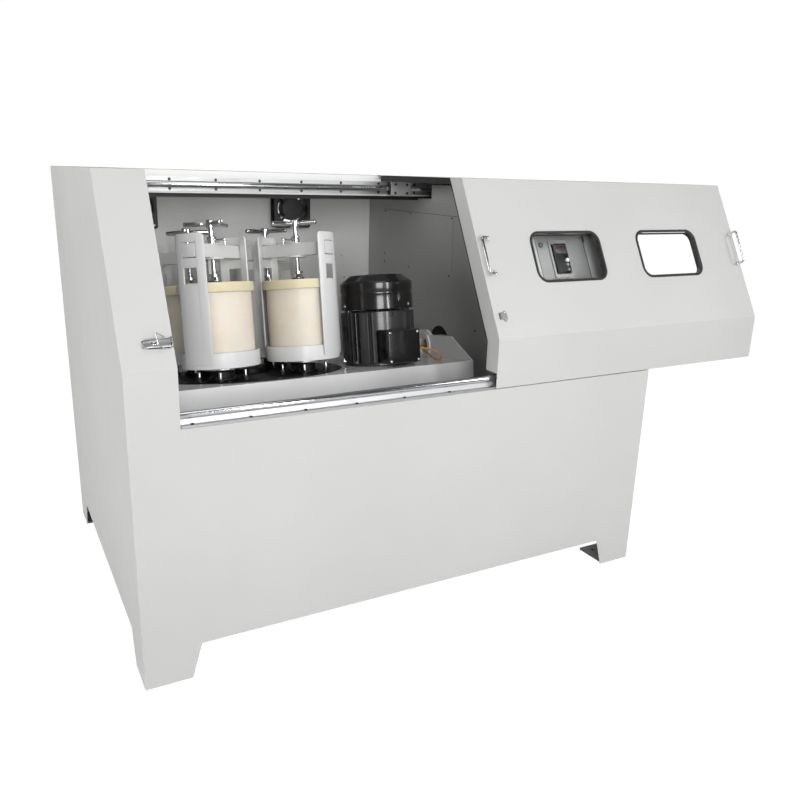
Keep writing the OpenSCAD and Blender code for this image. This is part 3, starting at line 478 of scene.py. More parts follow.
def tube(path, r, n=12, closed=False, caps=True):
    """A round bar along a path of points."""
    pts = [Vector(p) for p in path]
    bm = bmesh.new()
    m = len(pts)
    rings = []
    u = None
    for i, p in enumerate(pts):
        a = pts[i - 1] if (i or closed) else p
        b = pts[(i + 1) % m] if (i < m - 1 or closed) else p
        d = (b - a).normalized()
        if u is None:
            u = d.cross(Vector((0, 0, 1)) if abs(d.z) < 0.9 else Vector((1, 0, 0))).normalized()
        else:
            u = (u - d * u.dot(d)).normalized()
        w = d.cross(u)
        rings.append([bm.verts.new(p + r * (math.cos(2 * math.pi * k / n) * u + math.sin(2 * math.pi * k / n) * w)) for k in range(n)])
    for i in range(m if closed else m - 1):
        a, b = rings[i], rings[(i + 1) % m]
        for k in range(n):
            bm.faces.new((a[k], a[(k + 1) % n], b[(k + 1) % n], b[k]))
    if caps and not closed:
        bm.faces.new(list(reversed(rings[0])))
        bm.faces.new(rings[-1])
    bmesh.ops.recalc_face_normals(bm, faces=bm.faces)
    return bm


def arc_path(pts, r, seg=6):
    """Rounds the corners of a 3D path."""
    out = [Vector(pts[0])]
    for i in range(1, len(pts) - 1):
        a, b, c = (Vector(p) for p in pts[i - 1:i + 2])
        u, w = (a - b).normalized(), (c - b).normalized()
        ang = u.angle(w)
        t = r / math.tan(ang / 2)
        ctr = b + (u + w).normalized() * (r / math.sin(ang / 2))
        s, e = b + u * t - ctr, b + w * t - ctr
        for k in range(seg + 1):
            q = s.slerp(e, k / seg) if s.length > 1e-9 else s
            out.append(ctr + q.normalized() * r)
    out.append(Vector(pts[-1]))
    return out


def move(bm, mat):
    """mat is in mm here."""
    bmesh.ops.transform(bm, matrix=mat, verts=bm.verts)
    return bm


def t_mm(x, y, z):
    return Matrix.Translation((x, y, z))


def hex_bolt(af, h, washer=True):
    """Hexagon head seen from above, standing on z = 0."""
    parts = []
    if washer:
        parts.append(ring(af * 0.28, af * 0.66, 1.4, 28, 0.3))
    z0 = 1.4 if washer else 0.0
    bm = bmesh.new()
    r = af / math.sqrt(3)
    levels = [(r, z0), (r, z0 + h - 1.0), (r * 0.88, z0 + h)]
    rings = [[bm.verts.new((q * math.cos(math.pi / 3 * k), q * math.sin(math.pi / 3 * k), z)) for k in range(6)] for q, z in levels]
    for a, b in zip(rings, rings[1:]):
        for k in range(6):
            bm.faces.new((a[k], a[(k + 1) % 6], b[(k + 1) % 6], b[k]))
    bm.faces.new(rings[-1])
    bm.faces.new(list(reversed(rings[0])))
    parts.append(bm)
    return parts


def pan_screw(r, h, socket=True):
    """Button head with a hexagon socket, standing on z = 0."""
    rs = r * 0.42
    prof = [(0, h * 0.45), (rs, h * 0.45), (rs, h), (r * 0.72, h * 0.93), (r * 0.95, h * 0.62), (r, h * 0.3), (r, 0), (0, 0)]
    if not socket:
        prof = [(0, h), (r * 0.5, h * 0.95), (r * 0.85, h * 0.72), (r, h * 0.3), (r, 0), (0, 0)]
    return lathe(prof, 20)


class Piece:
    """One visible piece, gathered from parts in mm, each with its own material."""

    def __init__(self, name):
        self.name, self.bm, self.mats = name, bmesh.new(), []

    def put(self, part, mat, where=None):
        parts = part if isinstance(part, (list, tuple)) else [part]
        if mat not in self.mats:
            self.mats.append(mat)
        i = self.mats.index(mat)
        for bm in parts:
            me = bpy.data.meshes.new("t")
            bm.to_mesh(me)
            if where is not None:
                me.transform(where)
            before = len(self.bm.faces)
            self.bm.from_mesh(me)
            self.bm.faces.ensure_lookup_table()
            for fc in self.bm.faces[before:]:
                fc.material_index = i
            bpy.data.meshes.remove(me)
        return self

    def mesh(self, angle=35):
        me = bpy.data.meshes.new(self.name)
        self.bm.to_mesh(me)
        self.bm.free()
        me.transform(Matrix.Scale(MM, 4))
        for k in self.mats:
            me.materials.append(M[k])
        me.polygons.foreach_set("use_smooth", [True] * len(me.polygons))
        me.set_sharp_from_angle(angle=math.radians(angle))
        return me


def show(name, mesh, body, replaces=(), where=I4):
    ob = bpy.data.objects.new(name, mesh)
    scene.collection.objects.link(ob)
    ob.matrix_world = where
    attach(ob, body)
    if replaces:
        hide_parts(*([replaces] if isinstance(replaces, str) else replaces))
    return ob


# ------------------------------------------------------------------ motor cable
CABLE = [(157, -245, 12), (172, -245, 11.6), (188, -244.5, 9.4), (204, -244, 5.2), (220, -244, 0), (234, -243, -7),
         (246, -239, -15), (256, -232, -23), (262, -223, -30), (263.5, -212, -34.2), (262.5, -200, -35.6), (262, -187, -35.2),
         (262.5, -173, -33.4), (264, -158, -30.6), (266.5, -142, -27.2), (270, -125, -23.2), (273.5, -108, -19), (277, -91, -15),
         (280.5, -74, -11.2), (284, -57, -8), (288, -41, -5), (293, -26, -2.6), (299, -13, -1), (307, -4, 0), (318, 0, 0),
         (336, 0, 0), (360, 0, 0)]


def catmull(pts, k=4):
    p = [Vector(q) for q in pts]
    out = []
    for i in range(len(p) - 1):
        a, b, c, d = p[max(i - 1, 0)], p[i], p[i + 1], p[min(i + 2, len(p) - 1)]
        for j in range(k):
            t = j / k
            out.append(0.5 * ((2 * b) + (c - a) * t + (2 * a - 5 * b + 4 * c - d) * t * t + (3 * b - a - 3 * c + d) * t ** 3))
    out.append(p[-1])
    return out


cable_path = [TILT @ (q * MM) for q in catmull(CABLE, 4)]
cu = bpy.data.curves.new("motor_cable_flex", "CURVE")
cu.dimensions, cu.bevel_depth, cu.bevel_resolution, cu.use_fill_caps = "3D", 0.0031, 4, True
sp = cu.splines.new("POLY")
sp.points.add(len(cable_path) - 1)
for q, p in zip(sp.points, cable_path):
    q.co = (*p, 1)
cable = bpy.data.objects.new("motor_cable_flex", cu)
scene.collection.objects.link(cable)
cu.materials.append(M["cable_orange"])
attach(cable, "cradle")
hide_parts("motor_cable")

# ------------------------------------------------------------------ carried-over CAD nodes
def chamber():
    """The rear panel and roof's powder coat. Its inner faces are painted much lighter than its outside, which is
    painted light for the light that reaches into the chamber. A black band is painted along the lip below the rail
    beam.
    """
    m = Mat("powder_coat_chamber", spec=0.32)
    cloud = m.noise(1.6, 3.0, 0.55)
    fine = m.noise(420, 2.0, 0.6)
    scuff = m.noise(22, 4.0, 0.7, (1.0, 1.0, 0.35))
    t = (1, 1, 0.985)
    # painted light: faces inside the chamber (in front of the back wall and under the roof) take a much lighter grey
    # than the outside
    inside = m.math("MULTIPLY", m.math("LESS_THAN", m.coord(1), 0.6088), m.math("LESS_THAN", m.coord(2), 1.3088))
    grey = m.mix(v3(0.518, t), v3(0.80, t), inside)
    low = m.mix(v3(0.485, t), v3(0.74, t), inside)
    c = m.mix(low, grey, m.span(cloud, 0.3, 0.7, 0, 1))
    c = m.mix(c, v3(0.43, (1, 0.99, 0.96)), m.span(scuff, 0.70, 0.86, 0, 0.30))
    c = m.mix(c, low, m.span(fine, 0.45, 0.75, 0, 0.5))
    # a black band painted on the panel below z = 1.2376 and in front of y = 0.2035, along the rail beam's lower lip
    seal = m.math("MULTIPLY", m.math("LESS_THAN", m.coord(1), 0.2035), m.math("LESS_THAN", m.coord(2), 1.2376))
    rubber = m.mix((0.010, 0.010, 0.010), (0.018, 0.018, 0.018), m.noise(300, 2.0, 0.5))
    m.color(m.mix(c, rubber, seal))
    m.rough(scuff, 0.46, 0.56, 0.35, 0.75)
    m.bump(fine, 0.10, 0.0004)
    return m.m


M["chamber_paint"] = chamber()


def marked(name, grey, rough, mask, dark=0.016, spec=0.32, front=None):
    """Powder coat with a narrow black line where mask is 1: an edge seal or the gap around a cover. Where front is
    given, faces at x > 0.3925 take that darker grey instead, as painted shade.
    """
    m = Mat(name, spec=spec)
    cloud = m.noise(1.6, 3.0, 0.55)
    fine = m.noise(420, 2.0, 0.6)
    scuff = m.noise(22, 4.0, 0.7, (1.0, 1.0, 0.35))
    t = (1, 1, 0.985)
    c = m.mix(v3(grey * 0.965, t), v3(grey * 1.035, t), m.span(cloud, 0.3, 0.7, 0, 1))
    c = m.mix(c, v3(grey * 0.80, (1, 0.99, 0.96)), m.span(scuff, 0.70, 0.86, 0, 0.30))
    c = m.mix(c, v3(grey * 0.93, t), m.span(fine, 0.45, 0.75, 0, 0.5))
    if front is not None:
        # painted shade: the faces on the control section's side take the darker front grey
        painted_shade_side = m.mix(v3(front * 0.95, t), v3(front * 1.05, t), m.span(fine, 0.35, 0.65, 0, 1))
        c = m.mix(c, painted_shade_side, m.math("GREATER_THAN", m.coord(0), 0.3925))
    rubber = m.mix(v3(dark * 0.8), v3(dark * 1.2), m.noise(300, 2.0, 0.5))
    m.color(m.mix(c, rubber, mask(m)))
    m.rough(scuff, rough[0], rough[1], 0.35, 0.75)
    m.bump(fine, 0.10, 0.0004)
    m.bump(m.noise(55, 2.0, 0.5), 0.03, 0.002)
    return m.m


def both(m, *parts):
    out = parts[0]
    for q in parts[1:]:
        out = m.math("MULTIPLY", out, q)
    return out


def within(m, v, mid, half):
    return m.math("LESS_THAN", m.math("ABSOLUTE", m.math("SUBTRACT", v, mid)), half)


def door_seal(m):
    """The seal on the inner edge of the door's left return."""
    y, z = m.coord(1), m.coord(2)
    slope = m.math("SUBTRACT", m.math("MULTIPLY", m.math("SUBTRACT", y, FY * MM), SU), m.math("MULTIPLY", m.math("SUBTRACT", z, BEND * MM), SB))
    depth = m.math("MINIMUM", slope, m.math("SUBTRACT", y, FY * MM))
    return both(m, m.math("GREATER_THAN", depth, 0.0590), m.math("LESS_THAN", m.coord(0), (DOOR0 + 3.2) * MM))


def cover_seam(m):
    """The joint of the screwed cover in the chamber's right wall."""
    x, y, z = m.coord(0), m.coord(1), m.coord(2)
    return both(m, within(m, y, 0.185, 0.285), within(m, z, 1.178, 0.0008), m.math("LESS_THAN", x, 0.3925))


def control_marks(m):
    """The gap along the control door's hinge side and the barrels of its quarter-turn locks."""
    x = m.coord(0)
    up = m.math("ADD", m.math("MULTIPLY", m.math("SUBTRACT", m.coord(1), FY * MM), SB), m.math("MULTIPLY", m.math("SUBTRACT", m.coord(2), BEND * MM), SU))
    dx = m.math("POWER", m.math("SUBTRACT", x, 0.523), 2.0)
    out = m.math("GREATER_THAN", x, 0.7055)
    for s in (0.326, 0.150):
        r = m.math("SQRT", m.math("ADD", dx, m.math("POWER", m.math("SUBTRACT", up, s), 2.0)))
        out = m.math("MAXIMUM", out, both(m, m.math("LESS_THAN", r, 0.0090), m.math("GREATER_THAN", r, 0.0035)))
    return out


# the control door's grey is set very dark, well below the cabinet's: painted shade for the shadow the sliding door
# throws over the control section
M["control_door_paint"] = marked("powder_coat_control_door", 0.145, (0.42, 0.52), control_marks, 0.03, 0.35)
M["door_paint"] = marked("powder_coat_door", 0.530, (0.46, 0.56), door_seal)
# the control section's side of this wall is painted darker than the chamber side: painted shade for the sliding door's
# shadow over it
M["wall_paint"] = marked("powder_coat_wall", 0.440, (0.42, 0.52), cover_seam, 0.09, 0.35, 0.250)
for name, ob in frame["nodes"].items():
    sub = next(s for s in frame["record"]["subparts"] if s["node"] == name)
    key = sub["material_slot"]
    if name == "rail_rods":
        key = "rod_chrome"
    if name == "cradle_tray":
        key = "tray_paint"
    if name == "rear_roof_panel":
        key = "chamber_paint"
    if name == "door_shell":
        key = "door_paint"
    if name == "control_door":
        key = "control_door_paint"
    if name == "control_housing" and key == "inner_paint":
        key = "wall_paint"
    ob.data.materials.clear()
    ob.data.materials.append(M[key])

# ------------------------------------------------------------------ jar stations


def bent_plate(r_in, r_out, h0, h1, half_deg, windows, corner, bev=0.8, cuts=24):
    """A plate rolled to a cylinder about Z, centred on +X. Windows are (width, low, high, corner radius)."""
    rm = (r_in + r_out) / 2
    half = math.radians(half_deg) * rm
    outline = fillet([(-half, h0), (half, h0), (half, h1), (-half, h1)], [1.5, 1.5, corner, corner], 8)
    holes = [fillet([(-w / 2, a), (w / 2, a), (w / 2, b), (-w / 2, b)], r, 4) for w, a, b, r in windows]
    bm = plate(outline, holes, r_out - r_in, 0.0, z=-(r_out - r_in) / 2)
    for i in range(1, cuts):
        x = -half + 2 * half * i / cuts
        bmesh.ops.bisect_plane(bm, geom=[*bm.verts, *bm.edges, *bm.faces], plane_co=(x, 0, 0), plane_no=(1, 0, 0), dist=1e-5)
    for v in bm.verts:
        a = v.co.x / rm
        r = rm + v.co.z
        z = v.co.y
        v.co = Vector((r * math.cos(a), r * math.sin(a), z))
    bmesh.ops.recalc_face_normals(bm, faces=bm.faces)
    return round_edges(bm, bev, 2, 50)


def holder_mesh(k):
    p = Piece("jar_holder_%d" % k)
    lv = SUN[k]
    # cup ring
    p.put(lathe(fillet([(0, 10), (113, 10), (113, 51), (119, 51), (119, 4), (0, 4)], [0, 3, 0.9, 0.9, 2.0, 0], 4, closed=False), 160), "holder_paint")
    # hub flange, shaft and planet pulley
    p.put(lathe(fillet([(0, 5), (60, 5), (60, -6), (17, -6), (17, lv - 6), (0, lv - 6)], [0, 1, 1, 2, 1, 0], 2, closed=False), 64), "steel")
    p.put(lathe(fillet([(17, lv - 6), (52, lv - 6), (52, lv - 4.4), (44.4, lv - 4.4), (44.4, lv + 4.4), (52, lv + 4.4), (52, lv + 6), (17, lv + 6)], 0.4, 1), 64, closed=True), "steel")
    for j in range(2):
        turn = R(180 * j, "Z")
        p.put(bent_plate(118.9, 124, 19, 400, 23.5, [(50, 329, 375, 3.5), (46, 254, 302, 3.5)], 12.0), "holder_paint", turn)
        # weld beads where the plate is joined to the ring
        half = math.radians(23.5)
        for sgn in (-1, 1):
            a = sgn * (half + 0.012)
            p.put(tube([(119.4 * math.cos(a), 119.4 * math.sin(a), z) for z in (21, 30, 40, 49.5)], 1.3, 8), "holder_paint", turn)
        p.put(tube([(119.5 * math.cos(t), 119.5 * math.sin(t), 18.6) for t in [half * (i / 6 - 1) for i in range(13)]], 1.2, 8), "holder_paint", turn)
    return p.mesh()


def jar_mesh():
    prof = fillet([(0, 10), (106, 10), (106, 250), (92, 250), (92, 26), (0, 26)], [0, 4, 2, 1.5, 8, 0], 4, closed=False)
    return Piece("grinding_jar").put(lathe(prof, 160), "nylon").mesh()


def lid_mesh():
    prof = fillet([(0, 250), (106.4, 250), (106.4, 229), (115.5, 229), (115.5, 258), (0, 258)], [0, 0.6, 1, 1.6, 2.6, 0], 4, closed=False)
    return Piece("jar_lid").put(lathe(prof, 160), "nylon_lid").mesh()


def crossbar_mesh(k):
    p = Piece("clamp_crossbar_%d" % k)
    bore = 8.06
    bar = plate(rect(246, 44), [circle(bore, 32)], 38.7, 0.0, z=333)
    p.put(round_edges(bar, 1.2, 2, 50), "holder_paint")
    p.put(lathe(fillet([(bore, 328), (33, 328), (33, 333.4), (bore, 333.4)], [0.3, 1.2, 0, 0], 3), 64, closed=True), "holder_paint")
    p.put(lathe(fillet([(bore, 371.3), (33, 371.3), (33, 374), (bore, 374)], [0, 0, 1.0, 0.3], 3), 64, closed=True), "holder_paint")
    # lock collar with grip lands, lever, pin and knob
    p.put(lathe(fillet([(bore, 374), (13, 374), (13, 379), (12.2, 380), (12.2, 388), (13, 389), (13, 395), (bore, 395)], 0.6, 2), 48, closed=True), "chrome")
    lev = R(LOCK[k], "Z")
    p.put(tube([(8, 0, 386), (20, 0, 386), (34, 0, 386), (44, 0, 386)], 3.4, 20), "chrome", lev)
    p.put(lathe(fillet([(0, 371), (3.5, 371), (3.5, 382), (5.2, 384), (5.6, 388), (4.4, 391.5), (0, 392)], 0.6, 3, closed=False), 28), "chrome", lev @ t_mm(40, 0, 0))
    return p.mesh()


def pad_mesh():
    p = Piece("pressure_pad")
    p.put(lathe([(8.3, 268), (8.3, 283.6), (8.7, 284), (15.9, 284), (16.5, 283.4), (16.5, 278.6), (15.9, 278), (12.2, 278), (12.1, 275.6), (17, 264.9), (17, 264.3)], 48), "chrome")
    p.put(lathe([(8.3, 268), (0, 268)], 48), "steel")
    p.put(lathe(fillet([(0, 264.3), (20, 264.3), (20, 258.3), (0, 258.3)], [0, 0.8, 0.8, 0], 2, closed=False), 48), "black_plastic")
    return p.mesh()


def screw_mesh():
    p = Piece("clamp_screw")
    # threaded bar: one ridge each 3 mm
    prof = [(0, 268.4), (6.4, 268.4), (7.4, 269.6)]
    z = 270.6
    while z < 400:
        prof += [(7.95, z), (7.95, z + 0.7), (7.0, z + 1.5), (7.0, z + 2.2)]
        z += 3.0
    prof += [(7.9, 402), (7.9, 412.4), (6.5, 413.4), (6.5, 422.2)]
    p.put(lathe(prof, 36), "chrome")
    p.put(lathe(fillet([(0, 422), (13, 422), (13, 446), (0, 446)], [0, 1.2, 3.4, 0], 4, closed=False), 48), "chrome")
    for j in range(3):
        p.put(lathe(fillet([(0, 5), (6.4, 5), (6.4, 22), (7.5, 27), (7.5, 80), (0, 80)], [0, 0, 0.5, 4, 3.2, 0], 4, closed=False), 32),
              "chrome", R(120 * j, "Z") @ t_mm(0, 0, 434) @ R(90, "Y"))
    return p.mesh()


JAR, LID, PAD, SCREW = jar_mesh(), lid_mesh(), pad_mesh(), screw_mesh()
for k, q in enumerate("abcd"):
    W = STATIONS[k]
    show("holder_%s_seen" % q, holder_mesh(k), "planet_" + q, "holder_" + q, W)
    show("jar_%s_seen" % q, JAR, "planet_" + q, "jar_" + q, W)
    show("lid_%s_seen" % q, LID, "planet_" + q, "lid_" + q, W)
    show("crossbar_%s_seen" % q, crossbar_mesh(k), "planet_" + q, "crossbar_" + q, W)
    show("pressure_pad_%s_seen" % q, PAD, "pad_" + q, "pressure_pad_" + q, W)
    show("clamp_screw_%s_seen" % q, SCREW, "clamp_" + q, "clamp_screw_" + q, W @ R(STAR[k] - STATION[k] - PLATE[k], "Z"))


# ------------------------------------------------------------------ turntable
def turntable_mesh():
    p = Piece("turntable_disc")
    p.put(lathe(fillet([(0, -37), (300, -37), (300, -49), (0, -49)], [0, 1.6, 1.6, 0], 3, closed=False), 256), "disc_black")
    p.put(lathe(fillet([(30, -48), (50, -37.2), (50, -22), (0, -22)], [0, 0, 1.5, 0], 3, closed=False), 64), "disc_black")
    for k in range(4):
        S = R(STATION[k], "Z") @ t_mm(193, 0, 0)
        # bearing boss with a foot flange and the shaft's seal
        p.put(lathe(fillet([(17.05, -10), (36, -10), (36, -31), (44, -31), (44, -37.2), (17.05, -37.2)], [0.6, 2.0, 2.5, 1.2, 0, 0], 3), 96, closed=True), "disc_black", S)
        p.put(ring(17.1, 27, 0.7, 48, 0.2, -10), "black_rubber", S)
        for j in range(8):
            p.put(pan_screw(3.2, 2.6), "black_oxide", S @ R(45 * j, "Z") @ t_mm(40, 0, -31))
        # spacer studs with a nut at the foot
        for j in range(4):
            Q = S @ R(22.5 + 90 * j, "Z") @ t_mm(70, 0, -37)
            p.put(hex_bolt(15, 6), "black_oxide", Q)
            p.put(cyl(5.2, 27, 28, 1.2, 0), "steel", Q)
    for j in range(12):
        p.put(pan_screw(4.6, 3.0), "black_oxide", R(30 * j, "Z") @ t_mm(286, 0, -37))
    for j in range(6):
        p.put(pan_screw(4.6, 3.4), "black_oxide", R(60 * j, "Z") @ t_mm(38, 0, -22))
    # spindle and driven pulley
    p.put(cyl(30, 94, 64, 1.0, -142), "steel")
    prof = [(30, -140), (150, -140), (150, -138), (140, -137.4), (140, -125.1), (150, -124.5), (150, -122.5), (140, -121.9),
            (140, -109.6), (150, -109), (150, -107), (30, -107)]
    p.put(lathe(prof, 128), "steel")
    return p.mesh()


show("turntable_seen", turntable_mesh(), "turntable", "turntable", MILL)


# ------------------------------------------------------------------ main motor
LUGS = (62, 182, 302)


def stator_mesh():
    p = Piece("motor_body")
    p.put(lathe(fillet([(14.05, -39), (120, -39), (120, -29), (108, -29), (108, 142), (99, 145), (14.05, 145)], [0, 1, 1.5, 2, 3, 2, 0], 3), 128, closed=True), "motor_black")
    for i in range(40):
        a = i * 9
        if (a < 240 or a > 300) and (a < 211 or a > 230):
            p.put(box((106, 125), (-1.3, 1.3), (-29, 139), 0.6, 1), "motor_black", R(a, "Z"))
    # flat pad between the fins; its two plugged holes are not drawn
    P = R(220.5, "Z")
    p.put(box((98, 124), (-16, 16), (-29, 139), 1.6, 3), "motor_black", P)
    # lugs that carry the cowl
    for a in LUGS:
        p.put(box((100, 119.6), (-12, 12), (137, 155), 1.2), "motor_black", R(a, "Z"))
    # flange bolts
    for j in range(4):
        p.put(hex_bolt(13, 7), "fastener_steel", R(22 + 90 * j, "Z") @ t_mm(113, 0, -29))
    # lifting eye's boss and the earth screw's lug at the left
    p.put(box((104, 131), (-9, 9), (-27, -21), 1.4, 2), "fastener_steel", R(168, "Z"))
    p.put(hex_bolt(9, 5), "fastener_steel", R(168, "Z") @ t_mm(126, 0, -21))
    # terminal box with a lid
    p.put(box((-61, 61), (-181, -100), (-30, 82), 9.0, 6), "cowl_black")
    p.put(box((-57.5, 57.5), (-184.4, -180), (-26.5, 78.5), 3.0, 4), "cowl_black")
    p.put(box((-59.5, 59.5), (-181.2, -179.6), (-28.5, 80.5), 0.6, 1), "black_rubber")
    for x in (-50.5, 50.5):
        for h in (-20, 72):
            p.put(ring(4.3, 6.6, 1.0, 28, 0.3), "motor_black", t_mm(x, -184, h) @ R(90, "X"))
            p.put(pan_screw(4.2, 2.6), "fastener_steel", t_mm(x, -183.8, h) @ R(90, "X"))
    # cable gland
    G = t_mm(60, -140, 12) @ R(90, "Y")
    bm = hex_bolt(21, 8, False)
    p.put(bm, "black_plastic", G)
    p.put(lathe(fillet([(4.2, 8), (9.5, 8), (9.5, 13), (7.6, 17), (4.2, 17)], [0, 0, 1, 1.2, 0], 3), 40, closed=True), "black_plastic", G)
    return p.mesh()


def cowl_mesh():
    p = Piece("motor_fan_cowl")
    groove = [(123.5 - 1.7 * math.sin(math.pi * i / 12), 196.5 + 14 * i / 12) for i in range(13)]
    outer = [(120.7, 149), (123.5, 149), *groove, (123.5, 239), (90, 264), (60, 264.4), (0, 264.4), (0, 261.6), (60, 261.6), (89, 261.2), (120.7, 237.9)]
    body = lathe(fillet(outer, [0.9, 0.9, *[0] * 13, 10, 12, 4, 0, 0, 4, 9, 9], 6), 160)
    p.put(body, "cowl_black")
    # air inlets in the top, drawn as flat black discs on the cowl: painted shade in place of the open holes
    for r, n in ((24, 12), (42, 12), (60, 12), (78, 12)):
        for j in range(n):
            p.put(cyl(3.4, 0.4, 16, 0.1, 264.1), "painted_hole_shade", R(360 * j / n + r, "Z") @ t_mm(r, 0, 0))
    # rolled lower edge
    p.put(tube([(122.9 * math.cos(t), 122.9 * math.sin(t), 150) for t in [2 * math.pi * i / 128 for i in range(128)]], 1.1, 8, True), "cowl_black")
    for a in LUGS:
        p.put(ring(2.6, 6.4, 0.8, 28, 0.2), "fastener_steel", R(a, "Z") @ t_mm(123.2, 0, 162) @ R(90, "Y"))
        p.put(pan_screw(4.4, 3.0), "fastener_steel", R(a, "Z") @ t_mm(123.6, 0, 162) @ R(90, "Y"))
    return p.mesh()


def rotor_mesh():
    p = Piece("motor_rotor")
    p.put(cyl(14, 366, 48, 1.0, -141), "steel")
    p.put(lathe([(14, -140), (39, -140), (39, -138), (30, -137.4), (30, -125.1), (39, -124.5), (39, -122.5), (30, -121.9), (30, -109.6), (39, -109),
                 (39, -107), (30, -106.4), (30, -95), (14, -95)], 64), "steel")
    p.put(cyl(30, 22, 48, 1.0, 200), "black_plastic")
    p.put(cyl(108, 2.5, 96, 0.5, 198), "black_plastic")
    for j in range(6):
        p.put(box((20, 108), (-1.5, 1.5), (200, 230), 0.5, 1), "black_plastic", R(60 * j, "Z"))
    return p.mesh()


show("motor_stator_seen", stator_mesh(), "cradle", "motor_stator", MOTOR)
show("fan_cowl_seen", cowl_mesh(), "cradle", "fan_cowl", MOTOR)
show("motor_rotor_seen", rotor_mesh(), "rotor", "motor_rotor", MOTOR)


# ------------------------------------------------------------------ chamber fans
FANS = (-582, 22)
FAN_Z = 1172


def fan_housing_mesh():
    p = Piece("fan_frames")
    for fx in FANS:
        F = t_mm(fx, BY - 2, FAN_Z) @ R(90, "X")
        holes = [circle(62, 96)] + [circle(2.5, 12, i * 62.25, j * 62.25) for i in (-1, 1) for j in (-1, 1)]
        for z0 in (0.0, 46.0):
            p.put(plate(rect(150, 150, 10), holes, 5.0, 0.6, 1, z0), "black_plastic", F)
        p.put(lathe(fillet([(62, 0), (65.5, 0), (65.5, 51), (62, 51)], 0.8, 2), 96, closed=True), "black_plastic", F)
        # webs between the two flanges
        for i in (-1, 1):
            for j in (-1, 1):
                p.put(cyl(6, 41, 20, 0.3, 5), "black_plastic", F @ t_mm(i * 62.25, j * 62.25, 0))
                p.put(pan_screw(4.6, 2.6), "fastener_steel", F @ t_mm(i * 62.25, j * 62.25, 51))
        p.put(lathe(fillet([(0, 46), (44, 46), (44, 49.5), (41, 51), (0, 51)], [0, 0.5, 0.8, 0.8, 0], 3, closed=False), 80), "black_plastic", F)
        p.put(cyl(4, 11, 24, 0.4, 36), "steel", F)
        for a in (45, 135, 225, 315):
            p.put(box((40, 64), (-4, 4), (46, 51), 0.8, 1), "black_plastic", F @ R(a, "Z"))
        # finger guard outside, in the panel's opening
        for r in (20, 41, 55):
            p.put(tube([(r * math.cos(t), r * math.sin(t), -0.9) for t in [2 * math.pi * i / 64 for i in range(64)]], 0.9, 6, True), "fastener_steel", F)
        for a in (0, 90, 180, 270):
            p.put(tube([(8, 0, -0.9), (34, 0, -0.9), (64, 0, -0.9)], 0.9, 6), "fastener_steel", F @ R(a, "Z"))
    return p.mesh()


def fan_rotor_mesh():
    p = Piece("fan_rotor")
    p.put(lathe(fillet([(0, 8), (46, 8), (46, 42), (4.05, 42), (4.05, 35), (0, 35)], [0, 4.0, 1.5, 0, 0, 0], 4, closed=False), 80), "black_plastic")
    for j in range(5):
        a = 72 * j
        # twisted blade, built from a grid
        bm = bmesh.new()
        rows = []
        for i in range(7):
            r = 45.4 + (60.2 - 45.4) * i / 6
            tw = math.radians(40 - 10 * i / 6)
            row = []
            for s in range(9):
                u = (s / 8 - 0.5) * 27
                b = 2.2 * math.sin(math.pi * s / 8)
                y, z = u * math.cos(tw) - b * math.sin(tw), u * math.sin(tw) + b * math.cos(tw)
                th = y / r
                row.append(bm.verts.new((r * math.cos(th), r * math.sin(th), 25 + z)))
            rows.append(row)
        for i in range(6):
            for s in range(8):
                bm.faces.new((rows[i][s], rows[i][s + 1], rows[i + 1][s + 1], rows[i + 1][s]))
        bmesh.ops.recalc_face_normals(bm, faces=bm.faces)
        bmesh.ops.solidify(bm, geom=bm.faces[:], thickness=1.4)
        p.put(bm, "blade_metal", R(a, "Z"))
    return p.mesh()


M["blade_metal"] = polished("pressed_blades", (0.62, 0.625, 0.63), 0.30, 0.42, (60, 60, 60), 2.0, 0.14, 0.12)
show("fan_housings_seen", fan_housing_mesh(), "cabinet", "fan_housings")
FAN = fan_rotor_mesh()
for fx, body in zip(FANS, ("fan_left", "fan_right")):
    show(body + "_rotor_seen", FAN, body, "fan_rotor_" + body[4:], T(fx, BY - 2, FAN_Z) @ R(90, "X"))


# ------------------------------------------------------------------ rails' and covers' screws
def screws_mesh():
    p = Piece("rail_screws")
    a, b = pan_screw(4.5, 3.0), pan_screw(3.5, 2.0)
    for i in range(11):
        for j in (-15, 15):
            p.put(a, "black_oxide", t_mm(-691 + 150 * i, RAIL_Y + j, 709))
            p.put(a, "black_oxide", t_mm(-694 + 150 * i, 171, TRAIL_Z + j) @ R(90, "X"))
    for y, z in ((455, 1171), (247, 1171), (-50, 1171), (455, 1000), (455, 967), (-50, 967), (247, 967)):
        p.put(b, "black_oxide", t_mm(388.5, y, z) @ R(-90, "Y"))
    p.put(b, "black_oxide", t_mm(390, -232, 799) @ R(-90, "Y"))
    for x, z in ((260, 979), (274, 885)):
        p.put(b, "fastener_steel", t_mm(x, BY - 2, z) @ R(90, "X"))
    return p.mesh()


show("screws_seen", screws_mesh(), "cabinet", "screws")


